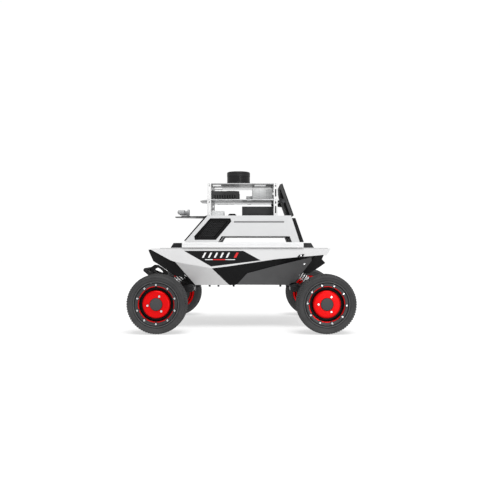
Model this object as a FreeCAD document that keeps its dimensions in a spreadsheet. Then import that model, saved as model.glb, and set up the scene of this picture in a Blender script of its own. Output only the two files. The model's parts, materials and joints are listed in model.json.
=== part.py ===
"""Four wheel robot chassis with swing arm suspension, hub motors and a sensor kit on its deck.

Frame, in millimetres: +X is the robot's front, +Y its left side, +Z up.
The origin is on the floor, midway between the axles and between the wheels.
"""
import FreeCAD, Part
import math
import os
import Sketcher

os.makedirs("parts", exist_ok=True)
Vector = FreeCAD.Vector
Rotation = FreeCAD.Rotation
Placement = FreeCAD.Placement

doc = FreeCAD.newDocument("robot_chassis")
sheet = doc.addObject("Spreadsheet::Sheet", "Dim")
nodes = {}
rows = []


# ---------------------------------------------------------------- driving sizes

class Size:
    """A number together with the spreadsheet expression that it comes from."""

    def __init__(self, value, text):
        self.value = float(value)
        self.text = text

    def __add__(self, other):
        other = as_size(other)
        return Size(self.value + other.value, "(%s + %s)" % (self.text, other.text))

    def __sub__(self, other):
        other = as_size(other)
        return Size(self.value - other.value, "(%s - %s)" % (self.text, other.text))

    def __mul__(self, other):
        other = as_size(other)
        return Size(self.value * other.value, "(%s * %s)" % (self.text, other.text))

    def __truediv__(self, other):
        other = as_size(other)
        return Size(self.value / other.value, "(%s / %s)" % (self.text, other.text))

    def __radd__(self, other):
        return as_size(other) + self

    def __rsub__(self, other):
        return as_size(other) - self

    def __rmul__(self, other):
        return as_size(other) * self

    def __neg__(self):
        return Size(-self.value, "(0 - %s)" % self.text)


def as_size(number):
    return number if isinstance(number, Size) else Size(number, "(%r)" % float(number))


def size(alias, value):
    """Write one driving size in the sheet and give it back as a Size."""
    rows.append(alias)
    cell = "B%d" % len(rows)
    sheet.set("A%d" % len(rows), alias)
    sheet.set(cell, str(value))
    sheet.setAlias(cell, alias)
    return Size(value, "Dim." + alias)


wheelbase = size("wheelbase", 452)
track = size("track", 510)
wheel_radius = size("wheel_radius", 80)
tyre_width = size("tyre_width", 70)
rim_radius = size("rim_radius", 57)
hub_disc_radius = size("hub_disc_radius", 37)
motor_radius = size("motor_radius", 42.7)
axle_radius = size("axle_radius", 8)
running_gap = size("running_gap", 0.05)

pivot_x = size("pivot_x", 148)
pivot_z = size("pivot_z", 115)
pivot_pin_radius = size("pivot_pin_radius", 6)
eye_x = size("eye_x", 150)
eye_z = size("eye_z", 168)
lug_x = size("lug_x", 205)
lug_z = size("lug_z", 125)
damper_y = size("damper_y", 118)
spring_radius = size("spring_radius", 9.3)
spring_wire = size("spring_wire", 1.5)

tub_half_width = size("tub_half_width", 103)
tub_floor_z = size("tub_floor_z", 124)
tub_top_z = size("tub_top_z", 225)
tub_half_top = size("tub_half_top", 222)
tub_half_floor = size("tub_half_floor", 150)
wall = size("wall", 3)
deck_z = size("deck_z", 228)
deck_sheet = size("deck_sheet", 2.5)
rail_y = size("rail_y", 112)
rail_top_z = size("rail_top_z", 244.5)

kit_half_width = size("kit_half_width", 138.5)
kit_half_length = size("kit_half_length", 176)
kit_floor_z = size("kit_floor_z", 246.5)
kit_roof_z = size("kit_roof_z", 323)
kit_sheet = size("kit_sheet", 2)
post_x = size("post_x", 103.2)
post_y = size("post_y", 100)
mid_plate_z = size("mid_plate_z", 370)
top_plate_z = size("top_plate_z", 417)
plate_sheet = size("plate_sheet", 3)
lidar_x = size("lidar_x", 13)
lidar_radius = size("lidar_radius", 35.5)
lidar_top_z = size("lidar_top_z", 463)
screen_width = size("screen_width", 165)
screen_height = size("screen_height", 100.9)
screen_tilt = size("screen_tilt", 19.7)
button_x = size("button_x", -190)
doc.recompute()

TO_Y = Rotation(Vector(1, 0, 0), -90)
TO_X = Rotation(Vector(0, 1, 0), 90)
UPRIGHT = Rotation()


# ---------------------------------------------------------------- shape helpers

def bind(thing, prop, number):
    """Set a property from a Size's expression, or from a plain number."""
    if isinstance(number, Size):
        thing.setExpression(prop, number.text)
    else:
        thing.setExpression(prop, repr(float(number)))


def place(thing, x=0, y=0, z=0, rotation=UPRIGHT):
    thing.Placement = Placement(Vector(0, 0, 0), rotation)
    for axis, number in (("x", x), ("y", y), ("z", z)):
        bind(thing, "Placement.Base." + axis, number)
    return thing


def box(name, x_span, y_span, z_span):
    block = doc.addObject("Part::Box", name)
    bind(block, "Length", x_span[1] - x_span[0])
    bind(block, "Width", y_span[1] - y_span[0])
    bind(block, "Height", z_span[1] - z_span[0])
    return place(block, x_span[0], y_span[0], z_span[0])


def rod(name, radius, length, x, y, z, rotation=UPRIGHT):
    """A round bar whose axis starts at (x, y, z)."""
    bar = doc.addObject("Part::Cylinder", name)
    bind(bar, "Radius", radius)
    bind(bar, "Height", length)
    return place(bar, x, y, z, rotation)


def cut(name, base, tools):
    """Take the tools away from the base."""
    tool = tools[0] if len(tools) == 1 else fuse(name + "_tools", tools)
    result = doc.addObject("Part::Cut", name)
    result.Base = base
    result.Tool = tool
    return result


def fuse(name, shapes):
    result = doc.addObject("Part::MultiFuse", name)
    result.Shapes = shapes
    result.Refine = True
    return result


def group(name, shapes):
    """Several separate solids in one object."""
    result = doc.addObject("Part::Compound", name)
    result.Links = shapes
    return result


def mirror(name, source, normal):
    result = doc.addObject("Part::Mirroring", name)
    result.Source = source
    result.Normal = normal
    return result


def both_sides(name, source):
    """The left piece and its mirror image on the right."""
    return group(name, [source, mirror(name + "_right", source, Vector(0, 1, 0))])


def fix_point(sketch, geometry, point, x, y):
    """Tie one sketch point to its distances from the sketch's origin."""
    for kind, number in (("DistanceX", x), ("DistanceY", y)):
        number = as_size(number)
        index = sketch.addConstraint(Sketcher.Constraint(kind, -1, 1, geometry, point, number.value))
        sketch.setExpression("Constraints[%d]" % index, number.text)


def outline(sketch, points):
    """A closed outline of straight lines."""
    first = sketch.GeometryCount
    corners = [Vector(as_size(x).value, as_size(y).value, 0) for x, y in points]
    count = len(points)
    for i in range(count):
        sketch.addGeometry(Part.LineSegment(corners[i], corners[(i + 1) % count]), False)
    for i in range(count):
        sketch.addConstraint(
            Sketcher.Constraint("Coincident", first + i, 2, first + (i + 1) % count, 1))
    for i, (x, y) in enumerate(points):
        fix_point(sketch, first + i, 1, x, y)


def round_hole(sketch, x, y, radius):
    index = sketch.GeometryCount
    centre = Vector(as_size(x).value, as_size(y).value, 0)
    circle = Part.Circle(centre, Vector(0, 0, 1), as_size(radius).value)
    sketch.addGeometry(circle, False)
    ring = sketch.addConstraint(Sketcher.Constraint("Radius", index, as_size(radius).value))
    sketch.setExpression("Constraints[%d]" % ring, as_size(radius).text)
    fix_point(sketch, index, 3, x, y)


def sketch_on(body, role, offset=0):
    """A sketch on one of the body's own origin planes, moved along the plane's normal."""
    sketch = body.newObject("Sketcher::SketchObject", body.Name + "_sketch")
    plane = [item for item in body.Origin.OriginFeatures if item.Role == role][0]
    sketch.AttachmentSupport = [(plane, "")]
    sketch.MapMode = "FlatFace"
    bind(sketch, "AttachmentOffset.Base.z", offset)
    return sketch


def prism(name, role, points, low, high, holes=(), rounds=()):
    """An outline drawn on a plane and padded from low to high along that plane's axis.

    On XZ_Plane the outline is (x, z) and the pad runs along Y; on XY_Plane it is (x, y) and Z.
    """
    body = doc.addObject("PartDesign::Body", name)
    start = -as_size(high) if role == "XZ_Plane" else as_size(low)
    sketch = sketch_on(body, role, start)
    outline(sketch, points)
    for hole in holes:
        outline(sketch, hole)
    for x, y, radius in rounds:
        round_hole(sketch, x, y, radius)
    pad = body.newObject("PartDesign::Pad", name + "_pad")
    pad.Profile = sketch
    bind(pad, "Length", as_size(high) - as_size(low))
    return body


def turned(name, role, points):
    """An outline of (radius, height) turned about the plane's vertical axis."""
    body = doc.addObject("PartDesign::Body", name)
    sketch = sketch_on(body, role)
    outline(sketch, points)
    turn = body.newObject("PartDesign::Revolution", name + "_turn")
    turn.Profile = sketch
    turn.ReferenceAxis = (sketch, ["V_Axis"])
    turn.Angle = 360
    return body


def rectangle(x_low, x_high, y_low, y_high):
    return [(x_low, y_low), (x_high, y_low), (x_high, y_high), (x_low, y_high)]


def rounded(name, base, picks, radius):
    """Fillet the edges of a finished shape that the picks accept."""
    doc.recompute()
    edges = [i + 1 for i, edge in enumerate(base.Shape.Edges) if picks(edge)]
    result = doc.addObject("Part::Fillet", name)
    result.Base = base
    result.Edges = [(i, radius, radius) for i in edges]
    return result


def upright_edge(edge):
    """True for a straight edge along Z."""
    return edge.Curve.TypeId == "Part::GeomLine" and abs(edge.tangentAt(edge.FirstParameter).z) > 0.99


def feature(name, shape):
    """A sub-part whose shape is made from faces worked out in code."""
    result = doc.addObject("Part::Feature", name)
    result.Shape = shape
    result.Placement = Placement()
    return result


def add(name, thing):
    """Name a finished sub-part; the name is also its file's."""
    thing.Label = name
    nodes[name] = thing
    return thing


def at_each_corner(piece, source):
    """The front left piece and its mirror images at the other three corners."""
    add("front_left_" + piece, source)
    right = mirror(piece + "_front_right", source, Vector(0, 1, 0))
    add("front_right_" + piece, right)
    add("rear_left_" + piece, mirror(piece + "_rear_left", source, Vector(1, 0, 0)))
    add("rear_right_" + piece, mirror(piece + "_rear_right", right, Vector(1, 0, 0)))


# ---------------------------------------------------------------- wheels

axle_x = wheelbase / 2
axle_y = track / 2


def at_axle(thing):
    """Move a piece drawn about the wheel's own centre to the front left axle."""
    return place(thing, axle_x, axle_y, wheel_radius)


def tyre():
    half = tyre_width / 2
    profile = [
        (rim_radius, 4 - half), (rim_radius + 9, 1 - half), (wheel_radius - 8, -half),
        (wheel_radius - 2.5, 5 - half), (wheel_radius, 13 - half), (wheel_radius, half - 13),
        (wheel_radius - 2.5, half - 5), (wheel_radius - 8, half), (rim_radius + 9, half - 1),
        (rim_radius, half - 4)]
    return at_axle(turned("tyre", "XY_Plane", profile))


def rim():
    """Barrel, web, stepped face, hub disc and the inner skirt that runs round the motor."""
    barrel_low = -31
    face = 27
    profile = [
        (axle_radius + running_gap, 4), (motor_radius + 0.9, 4), (motor_radius + 0.9, -33),
        (motor_radius + 3.5, -33), (motor_radius + 3.5, 4), (50, 4), (50, barrel_low),
        (rim_radius - 0.1, barrel_low), (rim_radius - 0.1, face), (43.6, face), (43.6, 10),
        (hub_disc_radius + 1, 10), (hub_disc_radius + 1, 27), (hub_disc_radius - 2.5, 30),
        (16.4, 30), (16.4, 24), (axle_radius + running_gap, 24)]
    return at_axle(turned("rim", "XY_Plane", profile))


def round_of_screws(name, count, first_angle, ring, radius, low, high):
    """Cylinder heads spaced evenly on a circle about the wheel's axis."""
    heads = []
    for i in range(count):
        angle = math.radians(first_angle + i * 360 / count)
        head = rod("%s_%d" % (name, i), radius, high - low, 0, 0, 0, TO_Y)
        place(head, axle_x + ring * math.cos(angle), axle_y + low,
              wheel_radius + ring * math.sin(angle), TO_Y)
        heads.append(head)
    return heads


def wheel_trim():
    """Bead clamp ring with its ten screws, three hub screws and the centre cap."""
    ring = at_axle(turned("clamp_ring", "XY_Plane", [
        (48, 27), (rim_radius - 0.2, 27), (rim_radius - 0.2, 31.3), (rim_radius - 1.2, 32.3),
        (49, 32.3), (48, 31.3)]))
    cap = at_axle(turned("hub_cap", "XY_Plane", [
        (0, 24.2), (16.3, 24.2), (16.3, 31), (15, 32.2), (0, 32.2)]))
    screws = round_of_screws("ring_screw", 10, 18, 52, 2.1, 32.3, 34)
    screws += round_of_screws("hub_screw", 3, 112, 22.7, 2.8, 30, 31.6)
    return group("wheel_trim", [ring, cap] + screws)


def hub_motor():
    """Stator housing, its mounting flange and the fixed axle that the rim turns on."""
    return at_axle(turned("hub_motor", "XY_Plane", [
        (0, -49), (30, -49), (30, -43), (34, -43), (motor_radius, -36), (motor_radius, 2),
        (axle_radius + 5, 2), (axle_radius + 5, 3.2), (axle_radius, 3.2), (axle_radius, 22),
        (0, 22)]))


at_each_corner("tyre", tyre())
at_each_corner("rim", rim())
at_each_corner("wheel_trim", wheel_trim())
at_each_corner("hub_motor", hub_motor())


# ---------------------------------------------------------------- suspension

pivot_tube_low = 104.5
pivot_tube_high = 150
lug_plates = ((106.5, 111.5), (124.5, 129.5))


def swing_arm():
    """Pivot tube, two plates carrying the damper lug, cross web and the axle beam."""
    side = [
        (pivot_x - 9, pivot_z - 7), (pivot_x - 9, pivot_z + 5), (pivot_x - 2, pivot_z + 11),
        (pivot_x + 9, pivot_z + 9), (lug_x - 15, lug_z - 14), (lug_x - 8, lug_z + 2),
        (lug_x, lug_z + 8), (lug_x + 8, lug_z + 3), (axle_x - 4, wheel_radius + 19),
        (axle_x + 14, wheel_radius + 9), (axle_x + 14, wheel_radius - 11),
        (axle_x - 4, wheel_radius - 16), (lug_x - 2, lug_z - 52), (pivot_x + 16, pivot_z - 14)]
    parts = [prism("arm_plate_%d" % i, "XZ_Plane", side, low, high)
             for i, (low, high) in enumerate(lug_plates)]
    parts.append(rod("pivot_tube", 11, pivot_tube_high - pivot_tube_low,
                     pivot_x, pivot_tube_low, pivot_z, TO_Y))
    web = [(lug_x - 42, lug_z - 24), (lug_x - 8, lug_z - 24), (lug_x - 8, lug_z - 46),
           (lug_x - 30, lug_z - 34)]
    parts.append(prism("arm_web", "XZ_Plane", web, lug_plates[0][1] - 1, lug_plates[1][0] + 1))
    parts.append(rod("axle_beam", 15, 206 - lug_plates[0][0], axle_x, lug_plates[0][0],
                     wheel_radius, TO_Y))
    parts.append(rod("motor_plate", 29, 6, axle_x, 200, wheel_radius, TO_Y))
    parts.append(rod("lug_pin", 3, 16, lug_x, lug_plates[0][1] - 1, lug_z, TO_Y))
    solid = fuse("swing_arm_solid", parts)
    bore = rod("pivot_bore", pivot_pin_radius + running_gap, 60, pivot_x, 100, pivot_z, TO_Y)
    return cut("swing_arm", solid, [bore])


damper_angle = math.degrees(math.atan2(eye_z.value - lug_z.value, lug_x.value - eye_x.value))
damper_length = math.hypot(eye_z.value - lug_z.value, lug_x.value - eye_x.value)
ALONG_DAMPER = Rotation(Vector(0, 1, 0), 90 + damper_angle)
seat_radius = spring_radius + spring_wire + 0.6
upper_seat = 15.5
lower_seat = damper_length - 14.5


def at_eye(thing):
    """Turn a piece drawn down local +Z from the upper eye on to the damper's line."""
    return place(thing, eye_x, damper_y, eye_z, ALONG_DAMPER)


def damper_body():
    """Upper eye, spring seat and the cylinder that the rod slides in."""
    barrel = at_eye(turned("damper_barrel", "XZ_Plane", [
        (0, 5), (7, 5), (7, 11.5), (seat_radius, 12.5), (seat_radius, upper_seat),
        (7.2, upper_seat), (7.2, 42), (3.05, 42), (3.05, 20), (0, 20)]))
    eye = rod("upper_eye", 8, 11, eye_x, damper_y - 5, eye_z, TO_Y)
    solid = fuse("damper_body_solid", [barrel, eye])
    bore = rod("upper_eye_bore", 4.05, 20, eye_x, damper_y - 10, eye_z, TO_Y)
    return cut("damper_body", solid, [bore])


def damper_rod():
    """Polished rod, lower spring seat and the lower eye, which fits loosely on its pin."""
    shaft = at_eye(turned("damper_shaft", "XZ_Plane", [
        (0, 30), (3, 30), (3, lower_seat), (seat_radius, lower_seat),
        (seat_radius, lower_seat + 2.5), (4, lower_seat + 4), (4, damper_length - 5.5),
        (0, damper_length - 5.5)]))
    eye = rod("lower_eye", 7.5, 10, lug_x, damper_y - 5, lug_z, TO_Y)
    solid = fuse("damper_rod_solid", [shaft, eye])
    bore = rod("lower_eye_bore", 4.2, 20, lug_x, damper_y - 10, lug_z, TO_Y)
    return cut("damper_rod", solid, [bore])


def coil_spring():
    """Closed helix of round wire between the two seats."""
    room = lower_seat - upper_seat - 2 * spring_wire.value - 0.6
    helix = doc.addObject("Part::Helix", "spring_helix")
    helix.Pitch = room / 6
    helix.Height = room
    bind(helix, "Radius", spring_radius)
    wire = doc.addObject("Part::Circle", "spring_section")
    bind(wire, "Radius", spring_wire)
    place(wire, spring_radius, 0, 0, Rotation(Vector(1, 0, 0), 90))
    coil = doc.addObject("Part::Sweep", "coil_spring")
    coil.Sections = [wire]
    coil.Spine = (helix, [])
    coil.Solid = True
    coil.Frenet = True
    start = upper_seat + spring_wire.value + 0.3
    run = math.radians(damper_angle)
    return place(coil, eye_x + start * math.cos(run), damper_y, eye_z - start * math.sin(run),
                 ALONG_DAMPER)


at_each_corner("swing_arm", swing_arm())
at_each_corner("damper_body", damper_body())
at_each_corner("damper_rod", damper_rod())
at_each_corner("coil_spring", coil_spring())


# ---------------------------------------------------------------- hull

def chassis_tub():
    """Open aluminium tray with a top flange and the four pivot blocks and their pins."""
    outer = prism("tub_outer", "XZ_Plane", [
        (tub_half_floor, tub_floor_z), (tub_half_top, tub_top_z),
        (-tub_half_top, tub_top_z), (-tub_half_floor, tub_floor_z)],
        -tub_half_width, tub_half_width)
    inner = prism("tub_inner", "XZ_Plane", [
        (tub_half_floor - 2, tub_floor_z + wall), (tub_half_top - 2, tub_top_z + 2),
        (2 - tub_half_top, tub_top_z + 2), (2 - tub_half_floor, tub_floor_z + wall)],
        wall - tub_half_width, tub_half_width - wall)
    flange = box("tub_flange", (-tub_half_top, tub_half_top),
                 (tub_half_width - 1, tub_half_width + 27), (tub_top_z - wall, tub_top_z))
    parts = [outer, flange, mirror("tub_flange_right", flange, Vector(0, 1, 0))]
    block = box("pivot_block", (pivot_x - 10, pivot_x + 10), (84, tub_half_width + 1),
                (pivot_z - 11, tub_floor_z + 2))
    pin = rod("pivot_pin", pivot_pin_radius, pivot_tube_high - 97, pivot_x, 98, pivot_z, TO_Y)
    corner = fuse("pivot_corner", [block, pin])
    left = group("pivot_left", [corner, mirror("pivot_rear", corner, Vector(1, 0, 0))])
    parts += [left, mirror("pivot_right", left, Vector(0, 1, 0))]
    return cut("chassis_tub", fuse("tub_solid", parts), [inner])


def side_plane(first, second, third):
    """The y of a flat panel, as a function of x and z, from three of its points (x, y, z)."""
    normal = (second - first).cross(third - first)
    return lambda x, z: first.y - (normal.x * (x - first.x) + normal.z * (z - first.z)) / normal.y


def slab(points, plane, thickness, outward=0):
    """A flat panel: the (x, z) outline laid on a slanted plane and thickened inwards."""
    corners = [Vector(x, plane(x, z) + outward, z) for x, z in points]
    face = Part.Face(Part.makePolygon(corners + corners[:1]))
    return face.extrude(Vector(0, -thickness, 0))


# The left side's facets meet on the crease from bow to waist and on the line from waist to keel.
TOP_EDGE_Y = 135
bow = Vector(191, 150, 190)
waist = Vector(86, 157.1, 172)
keel = Vector(37, 137.4, 123)
stern = Vector(-232, 142.1, 210)
upper_plane = side_plane(Vector(0, TOP_EDGE_Y, deck_z.value), bow, Vector(-191, 150, 190))
front_plane = side_plane(bow, waist, keel)
rear_plane = side_plane(waist, stern, keel)
COVER_SHEET = 3
DAMPER_SWING = 5

accent_outline = [
    (85.4, 171.6), (35, 177.5), (-93, 196.6), (-157.5, 202.6), (-171.5, 197), (-85, 177),
    (-13, 158), (17, 124), (36.4, 123)]
skirt_outline = [
    (-172.5, 197.2), (-198, 203), (-199, 193), (-141, 117), (-127, 123), (16, 124.3),
    (-14, 157.2), (-85.6, 176.2)]


def side_cover():
    """White shell of two facets with a flange along its top edge."""
    upper = [(262, 228), (262, 225), (205, 195), (191, 190), (86, 172), (35, 178.3),
             (-93, 197.4), (-155, 203.5), (-198, 206.8), (-232, 210), (-241, 208), (-254, 228)]
    lower = [(191, 190), (136, 123), (37, 123), (86, 172)]
    flange = Part.makeBox(508, 9, COVER_SHEET, Vector(-252, 126.5, deck_z.value - COVER_SHEET))
    shape = slab(upper, upper_plane, COVER_SHEET).fuse(slab(lower, front_plane, COVER_SHEET))
    return feature("side_cover", shape.fuse(flange).removeSplitter())


def accent_panel():
    """Black panel with a raised lower step, below the crease."""
    step = [(66, 160), (48, 140), (30, 127), (19, 127), (-8, 158), (-70, 174), (-60, 178)]
    base = slab(accent_outline, rear_plane, COVER_SHEET)
    return feature("accent_panel", base.cut(slab(step, rear_plane, 1.4, 0.4)))


def skirt_panel():
    """Grey panel, relieved behind the rear damper and round the rear pivot."""
    panel = slab(skirt_outline, rear_plane, COVER_SHEET, 0.4)
    reliefs = [Part.makeCylinder(15, 60, Vector(-pivot_x.value, 100, pivot_z.value), Vector(0, 1, 0))]
    for swing in (-DAMPER_SWING, 0, DAMPER_SWING):
        run = math.radians(damper_angle + swing)
        reliefs.append(Part.makeCylinder(
            seat_radius.value + 0.8, damper_length,
            Vector(-eye_x.value, damper_y.value, eye_z.value),
            Vector(-math.cos(run), 0, -math.sin(run))))
    return feature("skirt_panel", panel.cut(reliefs))


def wedge(name, outer_points, inner_points, half_width):
    """A hollow end cover: a prism across the hull with its inside taken out."""
    outer = prism(name + "_outer", "XZ_Plane", outer_points, -half_width, half_width)
    inner = prism(name + "_inner", "XZ_Plane", inner_points, 3 - half_width, half_width - 3)
    return cut(name, outer, [inner])


def nose_cover():
    outer = [(tub_half_top + 3, tub_top_z + 2.5), (275, deck_z - 3), (272, 216), (261, 192),
             (221, 165), (166, 127.5), (153.5, 127.5), (tub_half_top + 1, tub_top_z - 8)]
    inner = [(tub_half_top + 8, tub_top_z - 1), (271, tub_top_z - 3), (268.5, 217), (258, 195),
             (219, 168.5), (168, 134), (161, 134), (tub_half_top + 7, tub_top_z - 12)]
    middle = wedge("nose_wedge", outer, inner, 100)
    front = [(225, 222), (269, 222), (264, 209.6), (255, 191.2), (225, 172.7)]
    hollow = [(220, 219), (265.5, 219), (261.2, 210.4), (253, 193.5), (220, 173.3)]
    bow_box = prism("bow_box", "XZ_Plane", front, -134, 134)
    bow_room = prism("bow_room", "XZ_Plane", hollow, -131, 131)
    cheek = prism("cheek", "XZ_Plane", [
        (226, 222), (226, 173.3), (215.5, 166.8), (192, 151.3), (176, 147), (167, 143.2),
        (165.5, 157), (169, 165), (190, 188), (200, 200), (215, 222)], 131, 134)
    bow = cut("bow_shell", bow_box, [bow_room])
    return fuse("nose_cover", [middle, bow, cheek, mirror("cheek_right", cheek, Vector(0, 1, 0))])


def tail_cover():
    outer = [(-223, tub_top_z + 2.5), (-247, tub_top_z + 2.5), (-237, 206), (-233, 197),
             (-243, 186), (-220, 170), (-196, 156), (-175, 152), (-174.5, 156.5),
             (-222.5, tub_top_z - 3)]
    inner = [(-227, tub_top_z - 1), (-242, tub_top_z - 1), (-233, 206), (-229.5, 197),
             (-238, 186), (-218, 172.5), (-195, 159.5), (-180, 156.5), (-178.5, 158.5),
             (-226, tub_top_z - 6)]
    return wedge("tail_cover", outer, inner, 100)


def deck_plate():
    """Flat lid, and the barrel that the power button slides in below its hole."""
    lid = prism("deck_lid", "XY_Plane", rectangle(-246, 237, -132.5, 132.5), deck_z,
                deck_z + deck_sheet, rounds=[(button_x, 0, 9.3)])
    barrel = turned("button_barrel", "XZ_Plane", [
        (4.3, deck_z - 20), (12, deck_z - 20), (12, deck_z), (9.3, deck_z), (9.3, deck_z - 7),
        (4.3, deck_z - 7)])
    return fuse("deck_plate", [lid, place(barrel, button_x, 0, 0)])


def deck_rails():
    """Two slotted rails with slanted end caps."""
    base = deck_z + deck_sheet
    section = [(rail_y - 10, base), (rail_y + 10, base), (rail_y + 10, rail_top_z),
               (rail_y + 3, rail_top_z), (rail_y + 3, rail_top_z - 4), (rail_y + 6, rail_top_z - 4),
               (rail_y + 6, base + 3), (rail_y - 6, base + 3), (rail_y - 6, rail_top_z - 4),
               (rail_y - 3, rail_top_z - 4), (rail_y - 3, rail_top_z), (rail_y - 10, rail_top_z)]
    rail = prism("rail", "YZ_Plane", section, -186, 186)
    cap = prism("rail_cap", "XZ_Plane", [
        (186, base), (207.5, base), (199, rail_top_z), (186, rail_top_z)], rail_y - 10, rail_y + 10)
    grooves = [box("cap_groove_%d" % i, (x, x + 1.6), (rail_y - 11, rail_y + 11),
                   (rail_top_z - 1.2, rail_top_z + 1)) for i, x in enumerate((188.5, 191.9, 195.3))]
    end = cut("rail_end", cap, grooves)
    left = group("rail_left", [rail, end, mirror("rail_end_rear", end, Vector(1, 0, 0))])
    return both_sides("deck_rails", left)


def front_guard():
    """Two cross tubes on side arms, joined to the nose by a ring bracket."""
    ring = [(287, 167), (278, 174), (270.5, 179), (261, 178), (246, 169), (232, 158.5), (229, 150),
            (250, 139.5), (270, 144), (284, 156)]
    window = [(273, 161), (267, 167), (260.3, 169.5), (254, 166), (246, 158.5), (245.5, 154.5),
              (251, 149), (256, 149.5), (270, 157)]
    bracket = prism("guard_bracket", "XZ_Plane", ring, -5, 5, holes=[window])
    arm = prism("guard_arm", "XZ_Plane", [
        (293, 160), (289, 169), (276, 160), (240, 146), (150, 120), (150, 113), (158, 110),
        (270, 140)], 62, 70)
    tubes = [rod("guard_bar", 6.5, 148, 288, -74, 164.5, TO_Y),
             rod("guard_tube", 5, 140, 276, -70, 150, TO_Y)]
    arms = [arm, mirror("guard_arm_right", arm, Vector(0, 1, 0))]
    return fuse("front_guard", [bracket] + arms + tubes)


def battery_pack():
    block = box("battery_block", (-110, 20), (-70, 70), (tub_floor_z + wall + 0.2, 188))
    return rounded("battery_pack", block, upright_edge, 8)


def controller_board():
    """Motor driver board on stand-offs with its heat sink and connectors."""
    floor = tub_floor_z + wall
    board = box("board", (38, 138), (-70, 70), (floor + 8, floor + 10))
    feet = [rod("board_foot_%d" % i, 3, 8, x, y, floor, UPRIGHT)
            for i, (x, y) in enumerate(((44, -62), (44, 62), (132, -62), (132, 62)))]
    sink = [box("sink_base", (60, 120), (-45, 45), (floor + 10, floor + 14))]
    sink += [box("sink_fin_%d" % i, (60, 120), (y, y + 2), (floor + 13, floor + 30))
             for i, y in enumerate(range(-45, 44, 11))]
    return fuse("controller_board", [board] + feet + sink)


def power_button():
    """Push cap in the deck with a stem that reaches its switch below."""
    return turned("power_button_shape", "XZ_Plane", [
        (0, deck_z - 14), (4, deck_z - 14), (4, deck_z - 4), (9, deck_z - 4),
        (9, deck_z + 2), (8.2, deck_z + deck_sheet), (0, deck_z + deck_sheet)])


add("chassis_tub", chassis_tub())
add("side_covers", both_sides("side_covers", side_cover()))
add("accent_panels", both_sides("accent_panels", accent_panel()))
add("skirt_panels", both_sides("skirt_panels", skirt_panel()))
add("nose_cover", nose_cover())
add("tail_cover", tail_cover())
add("deck_plate", deck_plate())
add("deck_rails", deck_rails())
add("front_guard", front_guard())
add("battery_pack", battery_pack())
add("controller_board", controller_board())
add("power_button", place(power_button(), button_x, 0, 0))


# ---------------------------------------------------------------- sensor kit

def kit_base():
    """Folded sheet skirt that sits on the rails and hides them from the side."""
    front = kit_half_length - 3
    top = box("kit_base_top", (-kit_half_length, front),
              (-kit_half_width, kit_half_width), (rail_top_z, kit_floor_z))
    skirt = box("kit_base_skirt", (-kit_half_length, front),
                (kit_half_width - 2, kit_half_width), (deck_z + deck_sheet + 0.5, rail_top_z + 1))
    seam = box("kit_base_seam", (-kit_half_length - 1, front + 1),
               (kit_half_width - 0.5, kit_half_width + 1), (238.2, 238.9))
    side = cut("kit_base_side", skirt, [seam])
    return fuse("kit_base", [top, side, mirror("kit_base_side_right", side, Vector(0, 1, 0))])


grille_outline = [(92, 315), (34, 315), (31, 306), (75.5, 253), (136, 253), (138, 263)]


def kit_housing():
    """Folded sheet cabin with grille openings, side grooves and a tunnel through its foot."""
    roof_front = 99
    roof_rear = -140
    outer = prism("cabin_outer", "XZ_Plane", [
        (166.2, kit_floor_z), (roof_front, kit_roof_z), (roof_rear, kit_roof_z),
        (-165, kit_floor_z)], -kit_half_width, kit_half_width)
    inner = prism("cabin_inner", "XZ_Plane", [
        (170.5, kit_floor_z - 1), (102, kit_roof_z - kit_sheet), (-143, kit_roof_z - kit_sheet),
        (-168, kit_floor_z - 1)], kit_sheet - kit_half_width, kit_half_width - kit_sheet)
    window = prism("tunnel_window", "XZ_Plane", [
        (70, kit_floor_z - 1), (59, kit_floor_z + 17.1), (-136, kit_floor_z + 17.1),
        (-143, kit_floor_z - 1)], -150, 150)
    grilles = prism("grille_openings", "XZ_Plane", grille_outline, -150, 150)
    groove = box("cabin_groove", (-120, 24), (kit_half_width - 0.9, kit_half_width + 1),
                 (302.2, 307))
    shell = cut("cabin_shell", outer, [
        inner, window, grilles, groove, mirror("cabin_groove_right", groove, Vector(0, 1, 0))])
    ceiling = box("tunnel_ceiling", (-137, 58.5), (1 - kit_half_width, kit_half_width - 1),
                  (kit_floor_z + 17.1, kit_floor_z + 19.1))
    return fuse("kit_housing", [shell, ceiling])


def side_grille():
    """Frame with a deep bevel and a stack of slats."""
    frame_low = kit_half_width - 9
    rim_outline = [(91.5, 314.4), (34.6, 314.4), (31.7, 306), (75.8, 253.6), (135.4, 253.6),
                   (137.3, 263)]
    hole = [(88, 309.5), (39.5, 309.5), (38, 306.5), (78.5, 258.5), (131, 258.5), (132.2, 263.5)]
    frame = prism("grille_frame", "XZ_Plane", rim_outline, frame_low, kit_half_width - 0.6,
                  holes=[hole])
    slats = []
    for i in range(9):
        level = 261 + 5.4 * i
        rear = 78.5 - (level - 258.5) * 40.5 / 48
        front = 132.2 - (level - 263.5) * 44.2 / 46
        slats.append(box("slat_%d" % i, (rear - 3, front + 2), (frame_low + 1, kit_half_width - 3),
                         (level, level + 1.4)))
    return fuse("side_grille", [frame] + slats)


def end_panels():
    """Front panel over the windscreen slant and the ribbed rear panel, two solids."""
    front = prism("front_panel", "XZ_Plane", [
        (167.3, 250.5), (104.4, kit_roof_z), (99.3, kit_roof_z), (162.9, 250.5)],
        -kit_half_width, kit_half_width)
    rear = prism("rear_panel_slab", "XZ_Plane", [
        (-166, kit_floor_z), (-143.5, 316), (-153, 316), (-177.3, kit_floor_z)], -134, 134)
    ribs = []
    for i in range(6):
        level = 254 + 10.4 * i
        back = -177.3 + (level - kit_floor_z.value) * 24.3 / 69.5
        ribs.append(box("rib_gap_%d" % i, (back - 3, back + 3.2), (-122, 122), (level, level + 4)))
    return group("end_panels", [front, cut("rear_panel", rear, ribs)])


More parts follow.
